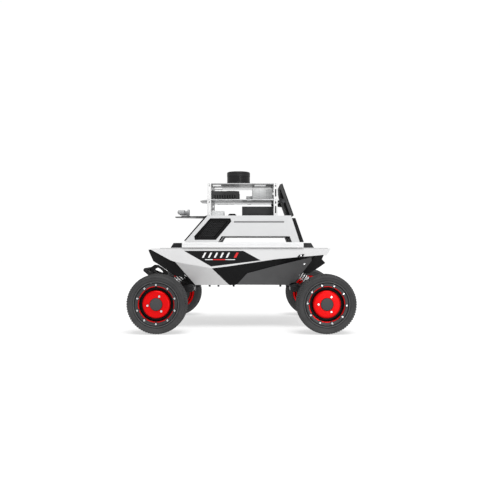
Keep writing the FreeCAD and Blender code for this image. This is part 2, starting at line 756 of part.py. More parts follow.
def corner_posts():
    """Four slotted angle posts."""
    leg = 11.6
    thick = 2
    profile = [(post_x, post_y), (post_x - leg, post_y), (post_x - leg, post_y - thick),
               (post_x - thick, post_y - thick), (post_x - thick, post_y - leg),
               (post_x, post_y - leg)]
    angle = prism("post_angle", "XY_Plane", profile, kit_roof_z, top_plate_z + 3)
    slots = [box("post_slot_%d" % i, (post_x - 7.6, post_x - 5), (post_y - 4, post_y + 1),
                 (low, high)) for i, (low, high) in enumerate(
                     ((328, 334), (336, 353), (361, 367), (378, 386), (393, 414)))]
    post = cut("post", angle, slots)
    left = group("posts_left", [post, mirror("post_rear", post, Vector(1, 0, 0))])
    return both_sides("corner_posts", left)


plate_x = post_x - 2.2
plate_y = post_y - 2.2


def mid_plate():
    """Shelf between the posts with a tapered nose and cable openings."""
    points = [(plate_x, -plate_y), (plate_x, -80), (116, -62), (128, -38), (128, 38), (116, 62),
              (plate_x, 80), (plate_x, plate_y), (-plate_x, plate_y), (-plate_x, 86), (-108.5, 86),
              (-108.5, -86), (-plate_x, -86), (-plate_x, -plate_y)]
    openings = [rectangle(-26, -14, 62, 88), rectangle(-26, -14, -88, -62),
                rectangle(30, 84, 66, 84), rectangle(30, 84, -84, -66)]
    return prism("mid_plate", "XY_Plane", points, mid_plate_z, mid_plate_z + plate_sheet,
                 holes=openings, rounds=[(110, 0, 4)])


def top_plate():
    """Upper shelf with four mounting holes, light openings and the sensor's screw holes."""
    openings = [rectangle(64, 90, 20, 78), rectangle(64, 90, -78, -20),
                rectangle(-70, -36, -70, -30), rectangle(-70, -36, 30, 70)]
    screws = [(x, y, 2.2) for x in (-84, 56) for y in (-88, 88)]
    return prism("top_plate", "XY_Plane", rectangle(-97, plate_x, -plate_y, plate_y),
                 top_plate_z, top_plate_z + plate_sheet, holes=openings, rounds=screws)


def computer():
    """Finned black computer with side vents and a fan on top."""
    floor = mid_plate_z + plate_sheet
    top = floor + 24.5
    body = box("computer_body", (10, 98), (-52, 52), (floor, top))
    vents = []
    for i in range(9):
        x = 22 + 7.4 * i
        for side in (-1, 1):
            y = (48, 53) if side > 0 else (-53, -48)
            vents.append(box("vent_%d_%d" % (i, side + 1), (x, x + 2.6), y, (floor + 7, floor + 18)))
    vented = cut("computer_vented", body, vents)
    fins = [box("fin_%d" % i, (x, x + 3), (-44, 44), (top - 1, top + 2.2))
            for i, x in enumerate((58, 66, 74, 82, 90))]
    fan = rod("fan", 19, 9, 35, 0, top - 1)
    return fuse("computer", [vented, fan] + fins)


def rounded_box(name, x_span, y_span, z_span, radius):
    return rounded(name, box(name + "_block", x_span, y_span, z_span), upright_edge, radius)


def equipment_boxes():
    """Power converter, router, hub and two small modules."""
    shelf = mid_plate_z + plate_sheet
    return group("equipment_boxes", [
        rounded_box("router", (-90, -31), (-58, 58), (shelf, shelf + 33.5), 7),
        rounded_box("serial_hub", (-30, -11), (-40, 40), (shelf, shelf + 13.5), 1.5),
        rounded_box("power_converter", (-92, 0), (-60, 60), (kit_roof_z, kit_roof_z + 31), 2),
        rounded_box("usb_hub", (55, 92), (38, 84), (kit_roof_z, kit_roof_z + 16.5), 2),
        rounded_box("relay_module", (20, 44.5), (-18, 22), (kit_roof_z, kit_roof_z + 12), 4)])


def camera_shelf():
    """Thin bracket that reaches forward from the roof."""
    points = [(48, -30), (93, -30), (100, -52), (150, -42), (206, -16), (206, 16), (150, 42),
              (100, 52), (93, 30), (48, 30)]
    return prism("camera_shelf", "XY_Plane", points, kit_roof_z, kit_roof_z + 3,
                 holes=[rectangle(112, 146, -18, 18)])


def depth_camera():
    """Camera bar held by a round flange on a foot."""
    floor = kit_roof_z + 3
    centre = kit_roof_z + 15.2
    bar = box("camera_bar", (176, 196), (-45, 45), (centre - 6.5, centre + 6.5))
    case = rounded("camera_case", bar, lambda e: upright_edge(e) and e.CenterOfMass.x > 190, 6)
    foot = box("camera_foot", (160, 188), (-14, 14), (floor, floor + 2.4))
    flange = rod("camera_flange", 10.6, 7, 163.5, 0, centre, TO_X)
    neck = rod("camera_neck", 6, 8, 169.5, 0, centre, TO_X)
    web = box("camera_web", (164, 170), (-5, 5), (floor + 1, centre))
    lenses = [rod("lens_%d" % i, 4.6, 1.5, 195.5, y, centre, TO_X)
              for i, y in enumerate((-32, 0, 32))]
    return fuse("depth_camera", [case, foot, flange, neck, web] + lenses)


def lidar_housing():
    """Round housing with a window band; it is hollow and has a spindle for the rotor."""
    base = top_plate_z + plate_sheet
    top = lidar_top_z
    return place(turned("lidar_housing_shape", "XZ_Plane", [
        (0, base), (lidar_radius, base), (lidar_radius, base + 7), (lidar_radius - 0.8, base + 8),
        (lidar_radius - 0.8, top - 15), (lidar_radius, top - 14), (lidar_radius, top - 4),
        (lidar_radius - 1.2, top - 1.2), (lidar_radius - 4, top), (0, top), (0, top - 4),
        (31, top - 4), (31, base + 7), (4, base + 7), (4, base + 16), (0, base + 16)]), lidar_x, 0, 0)


def lidar_rotor():
    """Spinning optical block inside the housing."""
    base = top_plate_z + plate_sheet
    return place(turned("lidar_rotor_shape", "XZ_Plane", [
        (4 + running_gap, base + 9), (27, base + 9), (27, lidar_top_z - 7), (0, lidar_top_z - 7),
        (0, base + 18), (4 + running_gap, base + 18)]), lidar_x, 0, 0)


screen_rotation = Rotation(Vector(0, 1, 0), screen_tilt.value)
screen_base = Vector(-152, 0, 326)
screen_hinge = Vector(-120.2, 0, 368.5)


def monitor():
    """Flat screen with a bevelled back and a stub pin on each side."""
    half = screen_width / 2
    shell = prism("monitor_shell", "XZ_Plane", [
        (0, 0), (7, 0), (21.6, 11), (22.6, 74), (16.5, 91.5), (5, screen_height),
        (0, screen_height)],
        -half, half)
    place(shell, screen_base.x, 0, screen_base.z, screen_rotation)
    pins = rod("monitor_pins", 3, 2 * half + 10, screen_hinge.x, -half - 5, screen_hinge.z, TO_Y)
    return fuse("monitor", [shell, pins])


def monitor_bracket():
    """Left and right ears whose feet are screwed under the mid plate's rear edge."""
    under = mid_plate_z - 0.1
    ear = prism("bracket_ear", "XZ_Plane", [
        (-90, under), (-109, under), (-112, under + 4.6), (-121, under + 5.6), (-127, 371),
        (-127, 364), (-121, 361), (-108, 363), (-90, 366)], 83.5, 86.5,
        rounds=[(screen_hinge.x, screen_hinge.z, 3.06)])
    foot = box("bracket_foot", (-107, -90), (70, 86.5), (under - 2, under))
    return both_sides("monitor_bracket", fuse("bracket_left", [ear, foot]))


def fasteners():
    """Belly screws, side screws, catches and the dampers' shoulder bolts."""
    belly = [rod("belly_screw_%d_%d" % (i, j), 3.2, 8.6, x, y, tub_floor_z - 8.6)
             for i, x in enumerate((97, 71, 26, -112)) for j, y in enumerate((-80, 80))]
    shank = rod("bolt_shank", 4, damper_y + 8.5 - tub_half_width, eye_x, tub_half_width, eye_z, TO_Y)
    head = rod("bolt_head", 6.5, 3.6, eye_x, damper_y + 7.5, eye_z, TO_Y)
    bolt = fuse("shoulder_bolt", [shank, head])
    pair = group("bolt_pair", [bolt, mirror("bolt_rear", bolt, Vector(1, 0, 0))])
    cap = rod("pivot_nut", 7.5, 4, pivot_x, pivot_tube_high + 3, pivot_z, TO_Y)
    caps = group("nut_pair", [cap, mirror("nut_rear", cap, Vector(1, 0, 0))])
    catch = feature("side_catch", slab(
        [(-158, 204.5), (-166, 211), (-177, 212), (-174, 206)], upper_plane, 4, 4.2))
    stud = rod("skirt_screw", 2.6, 1.6, -178, rear_plane(-178, 184) + 1.3, 184, TO_Y)
    side = [both_sides("catches", catch), both_sides("skirt_screws", stud),
            both_sides("bolts", pair), both_sides("nuts", caps)]
    return group("fasteners", belly + side)


add("kit_base", kit_base())
add("kit_housing", kit_housing())
add("side_grilles", both_sides("side_grilles", side_grille()))
add("end_panels", end_panels())
add("corner_posts", corner_posts())
add("mid_plate", mid_plate())
add("top_plate", top_plate())
add("computer", computer())
add("equipment_boxes", equipment_boxes())
add("camera_shelf", camera_shelf())
add("depth_camera", depth_camera())
add("lidar_housing", lidar_housing())
add("lidar_rotor", lidar_rotor())
add("monitor", monitor())
add("monitor_bracket", monitor_bracket())
add("fasteners", fasteners())


# ---------------------------------------------------------------- checks and export

doc.recompute()
for thing in doc.Objects:
    if "Invalid" in thing.State or "Error" in thing.State:
        raise RuntimeError("%s did not recompute: %s" % (thing.Name, thing.State))
for name, thing in nodes.items():
    if thing.Shape.isNull() or not thing.Shape.isValid() or not thing.Shape.Solids:
        raise RuntimeError("%s has no valid solid" % name)
for name, thing in nodes.items():
    thing.Shape.exportStep("parts/%s.step" % name)
print("nodes", len(nodes))
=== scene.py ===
"""Looks of the four wheel robot chassis: detailed pieces, procedural materials, floor, light and camera."""
import json
import math

import bmesh
import bpy
from mathutils import Matrix, Vector


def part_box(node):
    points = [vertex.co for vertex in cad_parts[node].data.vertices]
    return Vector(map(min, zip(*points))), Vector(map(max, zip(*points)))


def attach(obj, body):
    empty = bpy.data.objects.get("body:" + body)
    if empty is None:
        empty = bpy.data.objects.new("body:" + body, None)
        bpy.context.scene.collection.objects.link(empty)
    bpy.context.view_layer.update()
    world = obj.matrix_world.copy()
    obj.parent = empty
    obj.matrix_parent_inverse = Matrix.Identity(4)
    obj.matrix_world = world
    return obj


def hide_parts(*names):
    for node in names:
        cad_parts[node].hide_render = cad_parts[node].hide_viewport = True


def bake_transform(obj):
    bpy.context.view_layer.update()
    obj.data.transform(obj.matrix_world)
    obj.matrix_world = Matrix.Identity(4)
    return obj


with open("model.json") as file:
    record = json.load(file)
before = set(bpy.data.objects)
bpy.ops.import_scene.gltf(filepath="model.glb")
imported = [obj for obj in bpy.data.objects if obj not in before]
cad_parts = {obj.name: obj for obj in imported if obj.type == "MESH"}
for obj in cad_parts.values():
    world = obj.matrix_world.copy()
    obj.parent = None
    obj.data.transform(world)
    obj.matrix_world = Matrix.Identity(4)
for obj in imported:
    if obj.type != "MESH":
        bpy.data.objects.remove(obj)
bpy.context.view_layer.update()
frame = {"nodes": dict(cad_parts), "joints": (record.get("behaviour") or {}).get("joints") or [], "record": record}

MM = 0.001
CORNERS = ("front_left", "front_right", "rear_left", "rear_right")
BODY_OF = {node: body for body, nodes in frame["record"]["behaviour"]["bodies"].items() for node in nodes}


# ---------------------------------------------------------------- materials

class Shader:
    """A node tree with a Principled BSDF whose patterns follow the object's own coordinates."""

    def __init__(self, name, colour, roughness, metallic=0.0, coat=0.0, specular=0.5):
        self.material = bpy.data.materials.new(name)
        self.material.use_nodes = True
        self.tree = self.material.node_tree
        self.bsdf = self.tree.nodes["Principled BSDF"]
        self.bsdf.inputs["Base Color"].default_value = (*colour, 1)
        self.bsdf.inputs["Roughness"].default_value = roughness
        self.bsdf.inputs["Metallic"].default_value = metallic
        self.bsdf.inputs["Coat Weight"].default_value = coat
        self.bsdf.inputs["Coat Roughness"].default_value = 0.12
        self.bsdf.inputs["Specular IOR Level"].default_value = specular
        self.material.diffuse_color = (*colour, 1)
        self.colour = colour
        self.height = None

    def node(self, kind, **values):
        made = self.tree.nodes.new(kind)
        for key, value in values.items():
            setattr(made, key, value)
        return made

    def link(self, source, target):
        self.tree.links.new(source, target)

    def noise(self, scale, detail=3.0, stretch=(1, 1, 1)):
        """Noise of so many cells per metre, stretched along an axis where its factor is small."""
        place = self.node("ShaderNodeTexCoord")
        mapping = self.node("ShaderNodeMapping")
        mapping.inputs["Scale"].default_value = stretch
        noise = self.node("ShaderNodeTexNoise")
        noise.inputs["Scale"].default_value = scale
        noise.inputs["Detail"].default_value = detail
        self.link(place.outputs["Object"], mapping.inputs["Vector"])
        self.link(mapping.outputs["Vector"], noise.inputs["Vector"])
        return noise.outputs["Fac"]

    def cells(self, scale):
        """Small round cells, as in moulded texture."""
        place = self.node("ShaderNodeTexCoord")
        cells = self.node("ShaderNodeTexVoronoi")
        cells.inputs["Scale"].default_value = scale
        self.link(place.outputs["Object"], cells.inputs["Vector"])
        return cells.outputs["Distance"]

    def spread(self, value, low, high):
        """Map a 0 to 1 pattern on to a range."""
        scaled = self.node("ShaderNodeMapRange")
        scaled.inputs["From Min"].default_value = 0.3
        scaled.inputs["From Max"].default_value = 0.7
        scaled.inputs["To Min"].default_value = low
        scaled.inputs["To Max"].default_value = high
        self.link(value, scaled.inputs["Value"])
        return scaled.outputs["Result"]

    def tint(self, value, darker=0.9, lighter=1.08):
        """Vary the base colour between a darker and a lighter shade."""
        mix = self.node("ShaderNodeMix", data_type="RGBA")
        low = [c * darker for c in self.colour]
        high = [min(1.0, c * lighter) for c in self.colour]
        mix.inputs[6].default_value = (*low, 1)
        mix.inputs[7].default_value = (*high, 1)
        self.link(self.spread(value, 0, 1), mix.inputs[0])
        self.link(mix.outputs[2], self.bsdf.inputs["Base Color"])
        return self

    def rough(self, value, low, high):
        self.link(self.spread(value, low, high), self.bsdf.inputs["Roughness"])
        return self

    def bump(self, value, depth, strength=0.6):
        """Raise the surface by a pattern, depth in metres; calls stack up."""
        bump = self.node("ShaderNodeBump")
        bump.inputs["Strength"].default_value = strength
        bump.inputs["Distance"].default_value = depth
        self.link(value, bump.inputs["Height"])
        if self.height is not None:
            self.link(self.height, bump.inputs["Normal"])
        self.height = bump.outputs["Normal"]
        self.link(self.height, self.bsdf.inputs["Normal"])
        return self


def powder_coat(name, colour, roughness=0.42, specular=0.45):
    """Sprayed powder: a fine orange peel with a slow change of gloss."""
    s = Shader(name, colour, roughness, specular=specular)
    s.tint(s.noise(14), 0.975, 1.02)
    s.rough(s.noise(60), roughness - 0.06, roughness + 0.06)
    return s.bump(s.noise(1400, 2), 0.00012, 0.35).material


def moulded(name, colour, roughness=0.55, grain=2600, specular=0.3):
    """Spark-textured moulded plastic."""
    s = Shader(name, colour, roughness, specular=specular)
    s.tint(s.noise(25), 0.93, 1.06)
    s.rough(s.noise(90), roughness - 0.07, roughness + 0.07)
    return s.bump(s.cells(grain), 0.00012, 0.4).material


def gloss(name, colour, roughness=0.14, coat=0.6, specular=0.3):
    """Lacquered plastic with faint unevenness under its coat."""
    s = Shader(name, colour, roughness, coat=coat, specular=specular)
    s.tint(s.noise(18), 0.95, 1.04)
    s.rough(s.noise(70), roughness - 0.03, roughness + 0.06)
    return s.bump(s.noise(500, 2), 0.00006, 0.25).material


def anodised(name, colour, roughness=0.34, metallic=0.85):
    """Bead-blasted and dyed aluminium."""
    s = Shader(name, colour, roughness, metallic=metallic)
    s.tint(s.noise(30), 0.92, 1.08)
    s.rough(s.noise(120), roughness - 0.06, roughness + 0.08)
    return s.bump(s.noise(3800, 2), 0.00008, 0.4).material


def brushed(name, colour, roughness=0.3, stretch=(0.04, 1, 1)):
    """Metal with fine scratches along one axis."""
    s = Shader(name, colour, roughness, metallic=0.9)
    lines = s.noise(2200, 4, stretch)
    s.tint(s.noise(20), 0.95, 1.04)
    s.rough(lines, roughness - 0.08, roughness + 0.12)
    return s.bump(lines, 0.00006, 0.35).material


def plate_metal_painted_shade(name, colour, shade):
    """Brushed plate with painted shade: its underside is darker on its left half."""
    s = Shader(name, colour, 0.3, metallic=0.9)
    lines = s.noise(2200, 4, (0.04, 1, 1))
    place = s.node("ShaderNodeTexCoord")
    normal = s.node("ShaderNodeSeparateXYZ")
    point = s.node("ShaderNodeSeparateXYZ")
    s.link(place.outputs["Normal"], normal.inputs[0])
    s.link(place.outputs["Object"], point.inputs[0])
    # Painted shade: faces pointing down blend to the shade colour, fully so on the plate's left half.
    under = s.node("ShaderNodeMath", operation="LESS_THAN")
    under.inputs[1].default_value = -0.5
    s.link(normal.outputs["Z"], under.inputs[0])
    left = s.node("ShaderNodeMapRange")
    left.inputs["From Min"].default_value = -0.03
    left.inputs["From Max"].default_value = 0.01
    s.link(point.outputs["Y"], left.inputs["Value"])
    both = s.node("ShaderNodeMath", operation="MULTIPLY")
    s.link(under.outputs[0], both.inputs[0])
    s.link(left.outputs["Result"], both.inputs[1])
    mix = s.node("ShaderNodeMix", data_type="RGBA")
    mix.inputs[6].default_value = (*colour, 1)
    mix.inputs[7].default_value = (*shade, 1)
    s.link(both.outputs[0], mix.inputs[0])
    s.link(mix.outputs[2], s.bsdf.inputs["Base Color"])
    s.rough(lines, 0.24, 0.44)
    return s.bump(lines, 0.00006, 0.35).material


def rubber(name, colour):
    """Carbon black rubber: dull, slightly dusty, with a pebbled skin."""
    s = Shader(name, colour, 0.72, specular=0.35)
    s.tint(s.noise(35, 5), 0.8, 1.25)
    s.rough(s.noise(140, 4), 0.62, 0.84)
    s.bump(s.noise(900, 3), 0.0003, 0.35)
    return s.bump(s.noise(260, 3), 0.0004, 0.2).material


def lacquer_red(name):
    """Red dyed rim with fine turning marks round the wheel's own axis."""
    s = Shader(name, (0.72, 0.002, 0.003), 0.34, metallic=0.4, specular=0.15)
    place = s.node("ShaderNodeTexCoord")
    rings = s.node("ShaderNodeTexWave", wave_type="RINGS", rings_direction="Y")
    rings.inputs["Scale"].default_value = 700
    rings.inputs["Distortion"].default_value = 0.4
    s.link(place.outputs["Object"], rings.inputs["Vector"])
    s.tint(s.noise(40), 0.93, 1.06)
    s.rough(s.noise(110), 0.25, 0.38)
    return s.bump(rings.outputs["Fac"], 0.00004, 0.3).material


def circuit(name):
    """Solder mask over blocky copper areas."""
    s = Shader(name, (0.01, 0.09, 0.035), 0.35, coat=0.3)
    s.tint(s.cells(170), 0.6, 1.7)
    return s.bump(s.cells(420), 0.0001, 0.5).material


def lens_glass(name):
    """Black glass in front of dark optics."""
    s = Shader(name, (0.004, 0.005, 0.007), 0.06, coat=1.0)
    s.rough(s.noise(40), 0.04, 0.1)
    return s.material


def lamp(name, colour, strength):
    """A small indicator that glows."""
    s = Shader(name, colour, 0.3)
    s.bsdf.inputs["Emission Color"].default_value = (*colour, 1)
    s.bsdf.inputs["Emission Strength"].default_value = strength
    s.tint(s.noise(400), 0.9, 1.1)
    return s.material


WHITE = powder_coat("hull_white", (0.64, 0.64, 0.643), 0.34, 0.3)
KIT_WHITE = powder_coat("kit_white", (0.66, 0.665, 0.67), 0.42, 0.3)
BASE_WHITE = powder_coat("base_white", (0.84, 0.845, 0.85), 0.42, 0.3)
POST_WHITE = powder_coat("post_white", (0.80, 0.80, 0.80), 0.4)
BOX_WHITE = moulded("box_white", (0.78, 0.79, 0.79), 0.5)
SILVER = moulded("camera_silver", (0.42, 0.425, 0.43), 0.5)
# Mid grey, used as painted shade in a groove.
GROOVE_PAINTED_SHADE = moulded("cabin_groove_painted_shade", (0.24, 0.24, 0.245), 0.5)
# Plate material with painted shade on the left half of its underside.
PLATE_PAINTED_SHADE = plate_metal_painted_shade("plate_silver", (0.62, 0.625, 0.63), (0.11, 0.112, 0.115))
BLACK_GLOSS = gloss("accent_black", (0.0045, 0.0045, 0.005), 0.24, 0.04, 0.1)
DECAL_BLACK = gloss("decal_black", (0.0055, 0.0055, 0.006), 0.36, 0.0, 0.1)
DECAL_WHITE = gloss("decal_white", (0.78, 0.78, 0.78), 0.3, 0.1)
DECAL_RED = gloss("decal_red", (0.62, 0.008, 0.01), 0.3, 0.1)
BLACK = moulded("shell_black", (0.009, 0.009, 0.0095), 0.5, specular=0.15)
GREY = moulded("skirt_grey", (0.082, 0.082, 0.084), 0.5, 2000, 0.25)
RAIL_BLACK = anodised("rail_black", (0.012, 0.012, 0.013), 0.36, 0.5)
ARM_BLACK = powder_coat("arm_black", (0.014, 0.014, 0.015), 0.36, 0.35)
TUB_BLACK = powder_coat("tub_black", (0.012, 0.012, 0.013), 0.5, 0.25)
MOTOR_BLACK = powder_coat("motor_black", (0.014, 0.014, 0.015), 0.38, 0.3)
RIM_RED = lacquer_red("rim_red")
TRIM_DARK = anodised("trim_dark", (0.04, 0.041, 0.043), 0.42, 0.5)
CAP_GREY = moulded("cap_grey", (0.052, 0.052, 0.054), 0.6)
CASE_GREY = moulded("case_grey", (0.052, 0.052, 0.053), 0.5)
# Lighter grey rubber, used as a painted highlight on a tyre ridge.
RIDGE_PAINTED_HIGHLIGHT = moulded("ridge_painted_highlight", (0.085, 0.085, 0.087), 0.5)
STEEL = brushed("screw_steel", (0.93, 0.93, 0.94), 0.22, (1, 1, 1))
DARK_STEEL = brushed("dark_steel", (0.035, 0.035, 0.037), 0.35, (1, 1, 1))
SPRING = brushed("spring_steel", (0.95, 0.95, 0.95), 0.2, (1, 1, 1))
CHROME = brushed("rod_chrome", (0.85, 0.85, 0.86), 0.14, (1, 1, 1))
TYRE = rubber("tyre_rubber", (0.040, 0.040, 0.041))
PCB = circuit("board_green")
GLASS = lens_glass("lens_glass")
SCREEN = lens_glass("screen_glass")
LIDAR = moulded("lidar_black", (0.017, 0.017, 0.0175), 0.34, 3600)
WINDOW = gloss("lidar_window", (0.010, 0.010, 0.0105), 0.2, 0.15)
# Near black: the colour of a few dark parts, and painted shade in sockets, slots, vents and openings.
BLACK_AND_PAINTED_SHADE = moulded("black_and_painted_shade", (0.006, 0.006, 0.006), 0.6)
GREEN_LAMP = lamp("lamp_green", (0.05, 0.8, 0.2), 1.5)
BLUE_LAMP = lamp("lamp_blue", (0.1, 0.35, 1.0), 1.5)
BATTERY = moulded("battery_case", (0.03, 0.04, 0.06), 0.55)


# ---------------------------------------------------------------- mesh building

class Piece:
    """Collects mesh parts, each with its material, into one named object.

    Its coordinates are millimetres about origin, which is a point of the row frame in metres.
    """

    def __init__(self, name, origin=(0, 0, 0)):
        self.name = name
        self.origin = Vector(origin)
        self.bm = bmesh.new()
        self.materials = []

    def slot(self, material):
        if material not in self.materials:
            self.materials.append(material)
        return self.materials.index(material)

    def shape(self, points, faces, material):
        verts = [self.bm.verts.new(Vector(p) * MM) for p in points]
        index = self.slot(material)
        for loop in faces:
            face = self.bm.faces.new([verts[i] for i in loop])
            face.material_index = index
        return verts

    def lathe(self, profile, material, axis="Y", centre=(0, 0, 0), steps=96, start=0.0):
        """Turn a closed (radius, height) outline about an axis; a radius of 0 closes on the axis."""
        rings, points = [], []
        for radius, height in profile:
            if radius < 1e-6:
                rings.append([len(points)] * steps)
                points.append(along(axis, centre, 0, 0, height))
                continue
            ring = []
            for i in range(steps):
                angle = start + 2 * math.pi * i / steps
                ring.append(len(points))
                points.append(along(axis, centre, radius * math.cos(angle), radius * math.sin(angle), height))
            rings.append(ring)
        faces = []
        count = len(profile)
        for k in range(count):
            a, b = rings[k], rings[(k + 1) % count]
            if a[0] == a[1] and b[0] == b[1]:
                continue
            for i in range(steps):
                j = (i + 1) % steps
                loop = [a[i], a[j], b[j], b[i]]
                faces.append([v for n, v in enumerate(loop) if v != loop[n - 1]])
        self.shape(points, faces, material)

    def prism(self, outline, low, high, material, plane="XZ"):
        """Pad a flat outline: XZ along Y, XY along Z, YZ along X."""
        place = {"XZ": lambda u, v, w: (u, w, v), "XY": lambda u, v, w: (u, v, w),
                 "YZ": lambda u, v, w: (w, u, v)}[plane]
        count = len(outline)
        points = [place(u, v, low) for u, v in outline] + [place(u, v, high) for u, v in outline]
        faces = [list(range(count)), list(range(2 * count - 1, count - 1, -1))]
        faces += [[i, i + count, (i + 1) % count + count, (i + 1) % count] for i in range(count)]
        self.shape(points, faces, material)

    def box(self, low, high, material):
        self.prism([(low[0], low[2]), (high[0], low[2]), (high[0], high[2]), (low[0], high[2])],
                   low[1], high[1], material)

    def frame(self, outer, inner, low, high, material):
        """A flat ring between two outlines of the same number of points, padded along Y."""
        count = len(outer)
        points = [(x, y, z) for y in (low, high) for x, z in list(outer) + list(inner)]
        faces = []
        for i in range(count):
            j = (i + 1) % count
            top = 2 * count
            faces.append([i, j, count + j, count + i])
            faces.append([top + i, top + count + i, top + count + j, top + j])
            faces.append([i, top + i, top + j, j])
            faces.append([count + i, count + j, top + count + j, top + count + i])
        self.shape(points, faces, material)

    def sheared(self, outline, plane, thickness, lift, material):
        """A flat panel on a slanted side plane: plane gives y from x and z."""
        front = [(x, plane(x, z) + lift, z) for x, z in outline]
        back = [(x, y - thickness, z) for x, y, z in front]
        count = len(outline)
        faces = [list(range(count)), list(range(2 * count - 1, count - 1, -1))]
        faces += [[i, i + count, (i + 1) % count + count, (i + 1) % count] for i in range(count)]
        self.shape(front + back, faces, material)

    def mirror_y(self):
        """Add the mirror image of everything so far across the XZ plane."""
        copied = bmesh.ops.duplicate(self.bm, geom=self.bm.verts[:] + self.bm.edges[:] + self.bm.faces[:])
        verts = [g for g in copied["geom"] if isinstance(g, bmesh.types.BMVert)]
        for v in verts:
            v.co.y = -v.co.y
        faces = [g for g in copied["geom"] if isinstance(g, bmesh.types.BMFace)]
        bmesh.ops.reverse_faces(self.bm, faces=faces)

    def screw(self, centre, radius, height, material, axis="Y", socket=BLACK_AND_PAINTED_SHADE, sign=1):
        """A round head with a hexagon socket whose floor is dark painted shade; sign is the side that it faces."""
        top = height * sign
        self.lathe([(0, 0), (radius, 0), (radius, top * 0.7), (radius * 0.86, top),
                    (radius * 0.36, top), (radius * 0.36, top * 0.5), (0, top * 0.5)],
                   material, axis, centre, 20)
        # Painted shade: a dark hexagon on the socket's floor.
        self.lathe([(0, top * 0.5), (radius * 0.34, top * 0.5), (radius * 0.34, top * 0.62),
                    (0, top * 0.62)], socket, axis, centre, 6)

    def finish(self, body, replaces=(), bevel=0.35, angle=32, segments=2):
        bmesh.ops.recalc_face_normals(self.bm, faces=self.bm.faces[:])
        mesh = bpy.data.meshes.new(self.name)
        self.bm.to_mesh(mesh)
        self.bm.free()
        for material in self.materials:
            mesh.materials.append(material)
        thing = bpy.data.objects.new(self.name, mesh)
        bpy.context.scene.collection.objects.link(thing)
        thing.location = self.origin
        polish(thing, bevel, angle, segments)
        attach(thing, body)
        if replaces:
            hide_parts(*replaces)
        return thing


def along(axis, centre, u, v, w):
    """A point at (u, v) across the axis and w along it.

    Across Y the pair is (x, z), so angles match a side view.
    """
    x, y, z = centre
    if axis == "Y":
        return (x + u, y + w, z + v)
    if axis == "X":
        return (x + w, y + u, z + v)
    return (x + u, y + v, z + w)


def polish(thing, bevel, angle, segments=2):
    """Smooth shading between gentle faces, and a small bevel on every sharp edge."""
    mesh = thing.data
    mesh.polygons.foreach_set("use_smooth", [True] * len(mesh.polygons))
    mesh.set_sharp_from_angle(angle=math.radians(angle))
    if bevel:
        rounding = thing.modifiers.new("bevel", "BEVEL")
        rounding.width = bevel * MM
        rounding.segments = segments
        rounding.limit_method = "ANGLE"
        rounding.angle_limit = math.radians(angle)
        rounding.harden_normals = True
        rounding.use_clamp_overlap = True


def refined(node, material, bevel=0.5, angle=32):
    """A clean copy of a CAD node: welded, flat faces joined, edges rounded, with its material."""
    mesh = frame["nodes"][node].data.copy()
    piece = Piece(node + "_skin")
    piece.bm.from_mesh(mesh)
    bmesh.ops.remove_doubles(piece.bm, verts=piece.bm.verts[:], dist=1e-6)
    bmesh.ops.dissolve_limit(piece.bm, angle_limit=math.radians(0.6), verts=piece.bm.verts[:],
                             edges=piece.bm.edges[:])
    for layer in list(piece.bm.loops.layers.uv):
        piece.bm.loops.layers.uv.remove(layer)
    index = piece.slot(material)
    for face in piece.bm.faces:
        face.material_index = index
        face.smooth = True
    return piece.finish(BODY_OF[node], [node], bevel, angle)


def arc(cx, cz, radius, start, stop, steps):
    """Points on a circle from one angle to another, in degrees."""
    turn = [math.radians(start + (stop - start) * i / steps) for i in range(steps + 1)]
    return [(cx + radius * math.cos(a), cz + radius * math.sin(a)) for a in turn]


def centre_of(node):
    low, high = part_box(node)
    return (low + high) / 2


def extents(node):
    """A node's box in millimetres: (low, high)."""
    low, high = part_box(node)
    return low / MM, high / MM


# ---------------------------------------------------------------- wheels

def tread_block(piece, radius_low, radius_high, angle, half_turn, y_low, y_high, skew=0.0, shrink=0.7):
    """One rubber block on the tread, narrower at its top."""
    points = []
    for radius, squeeze in ((radius_low, 1.0), (radius_high, shrink)):
        middle = (y_low + y_high) / 2
        for y, side in ((y_low, -1), (y_high, 1)):
            across = middle + (y - middle) * (0.5 + squeeze / 2)
            for turn in (-half_turn, half_turn):
                a = angle + turn * squeeze + skew * side
                points.append((radius * math.cos(a), across, radius * math.sin(a)))
    faces = [[0, 1, 3, 2], [4, 6, 7, 5], [0, 4, 5, 1], [2, 3, 7, 6], [0, 2, 6, 4], [1, 5, 7, 3]]
    piece.shape(points, faces, TYRE)


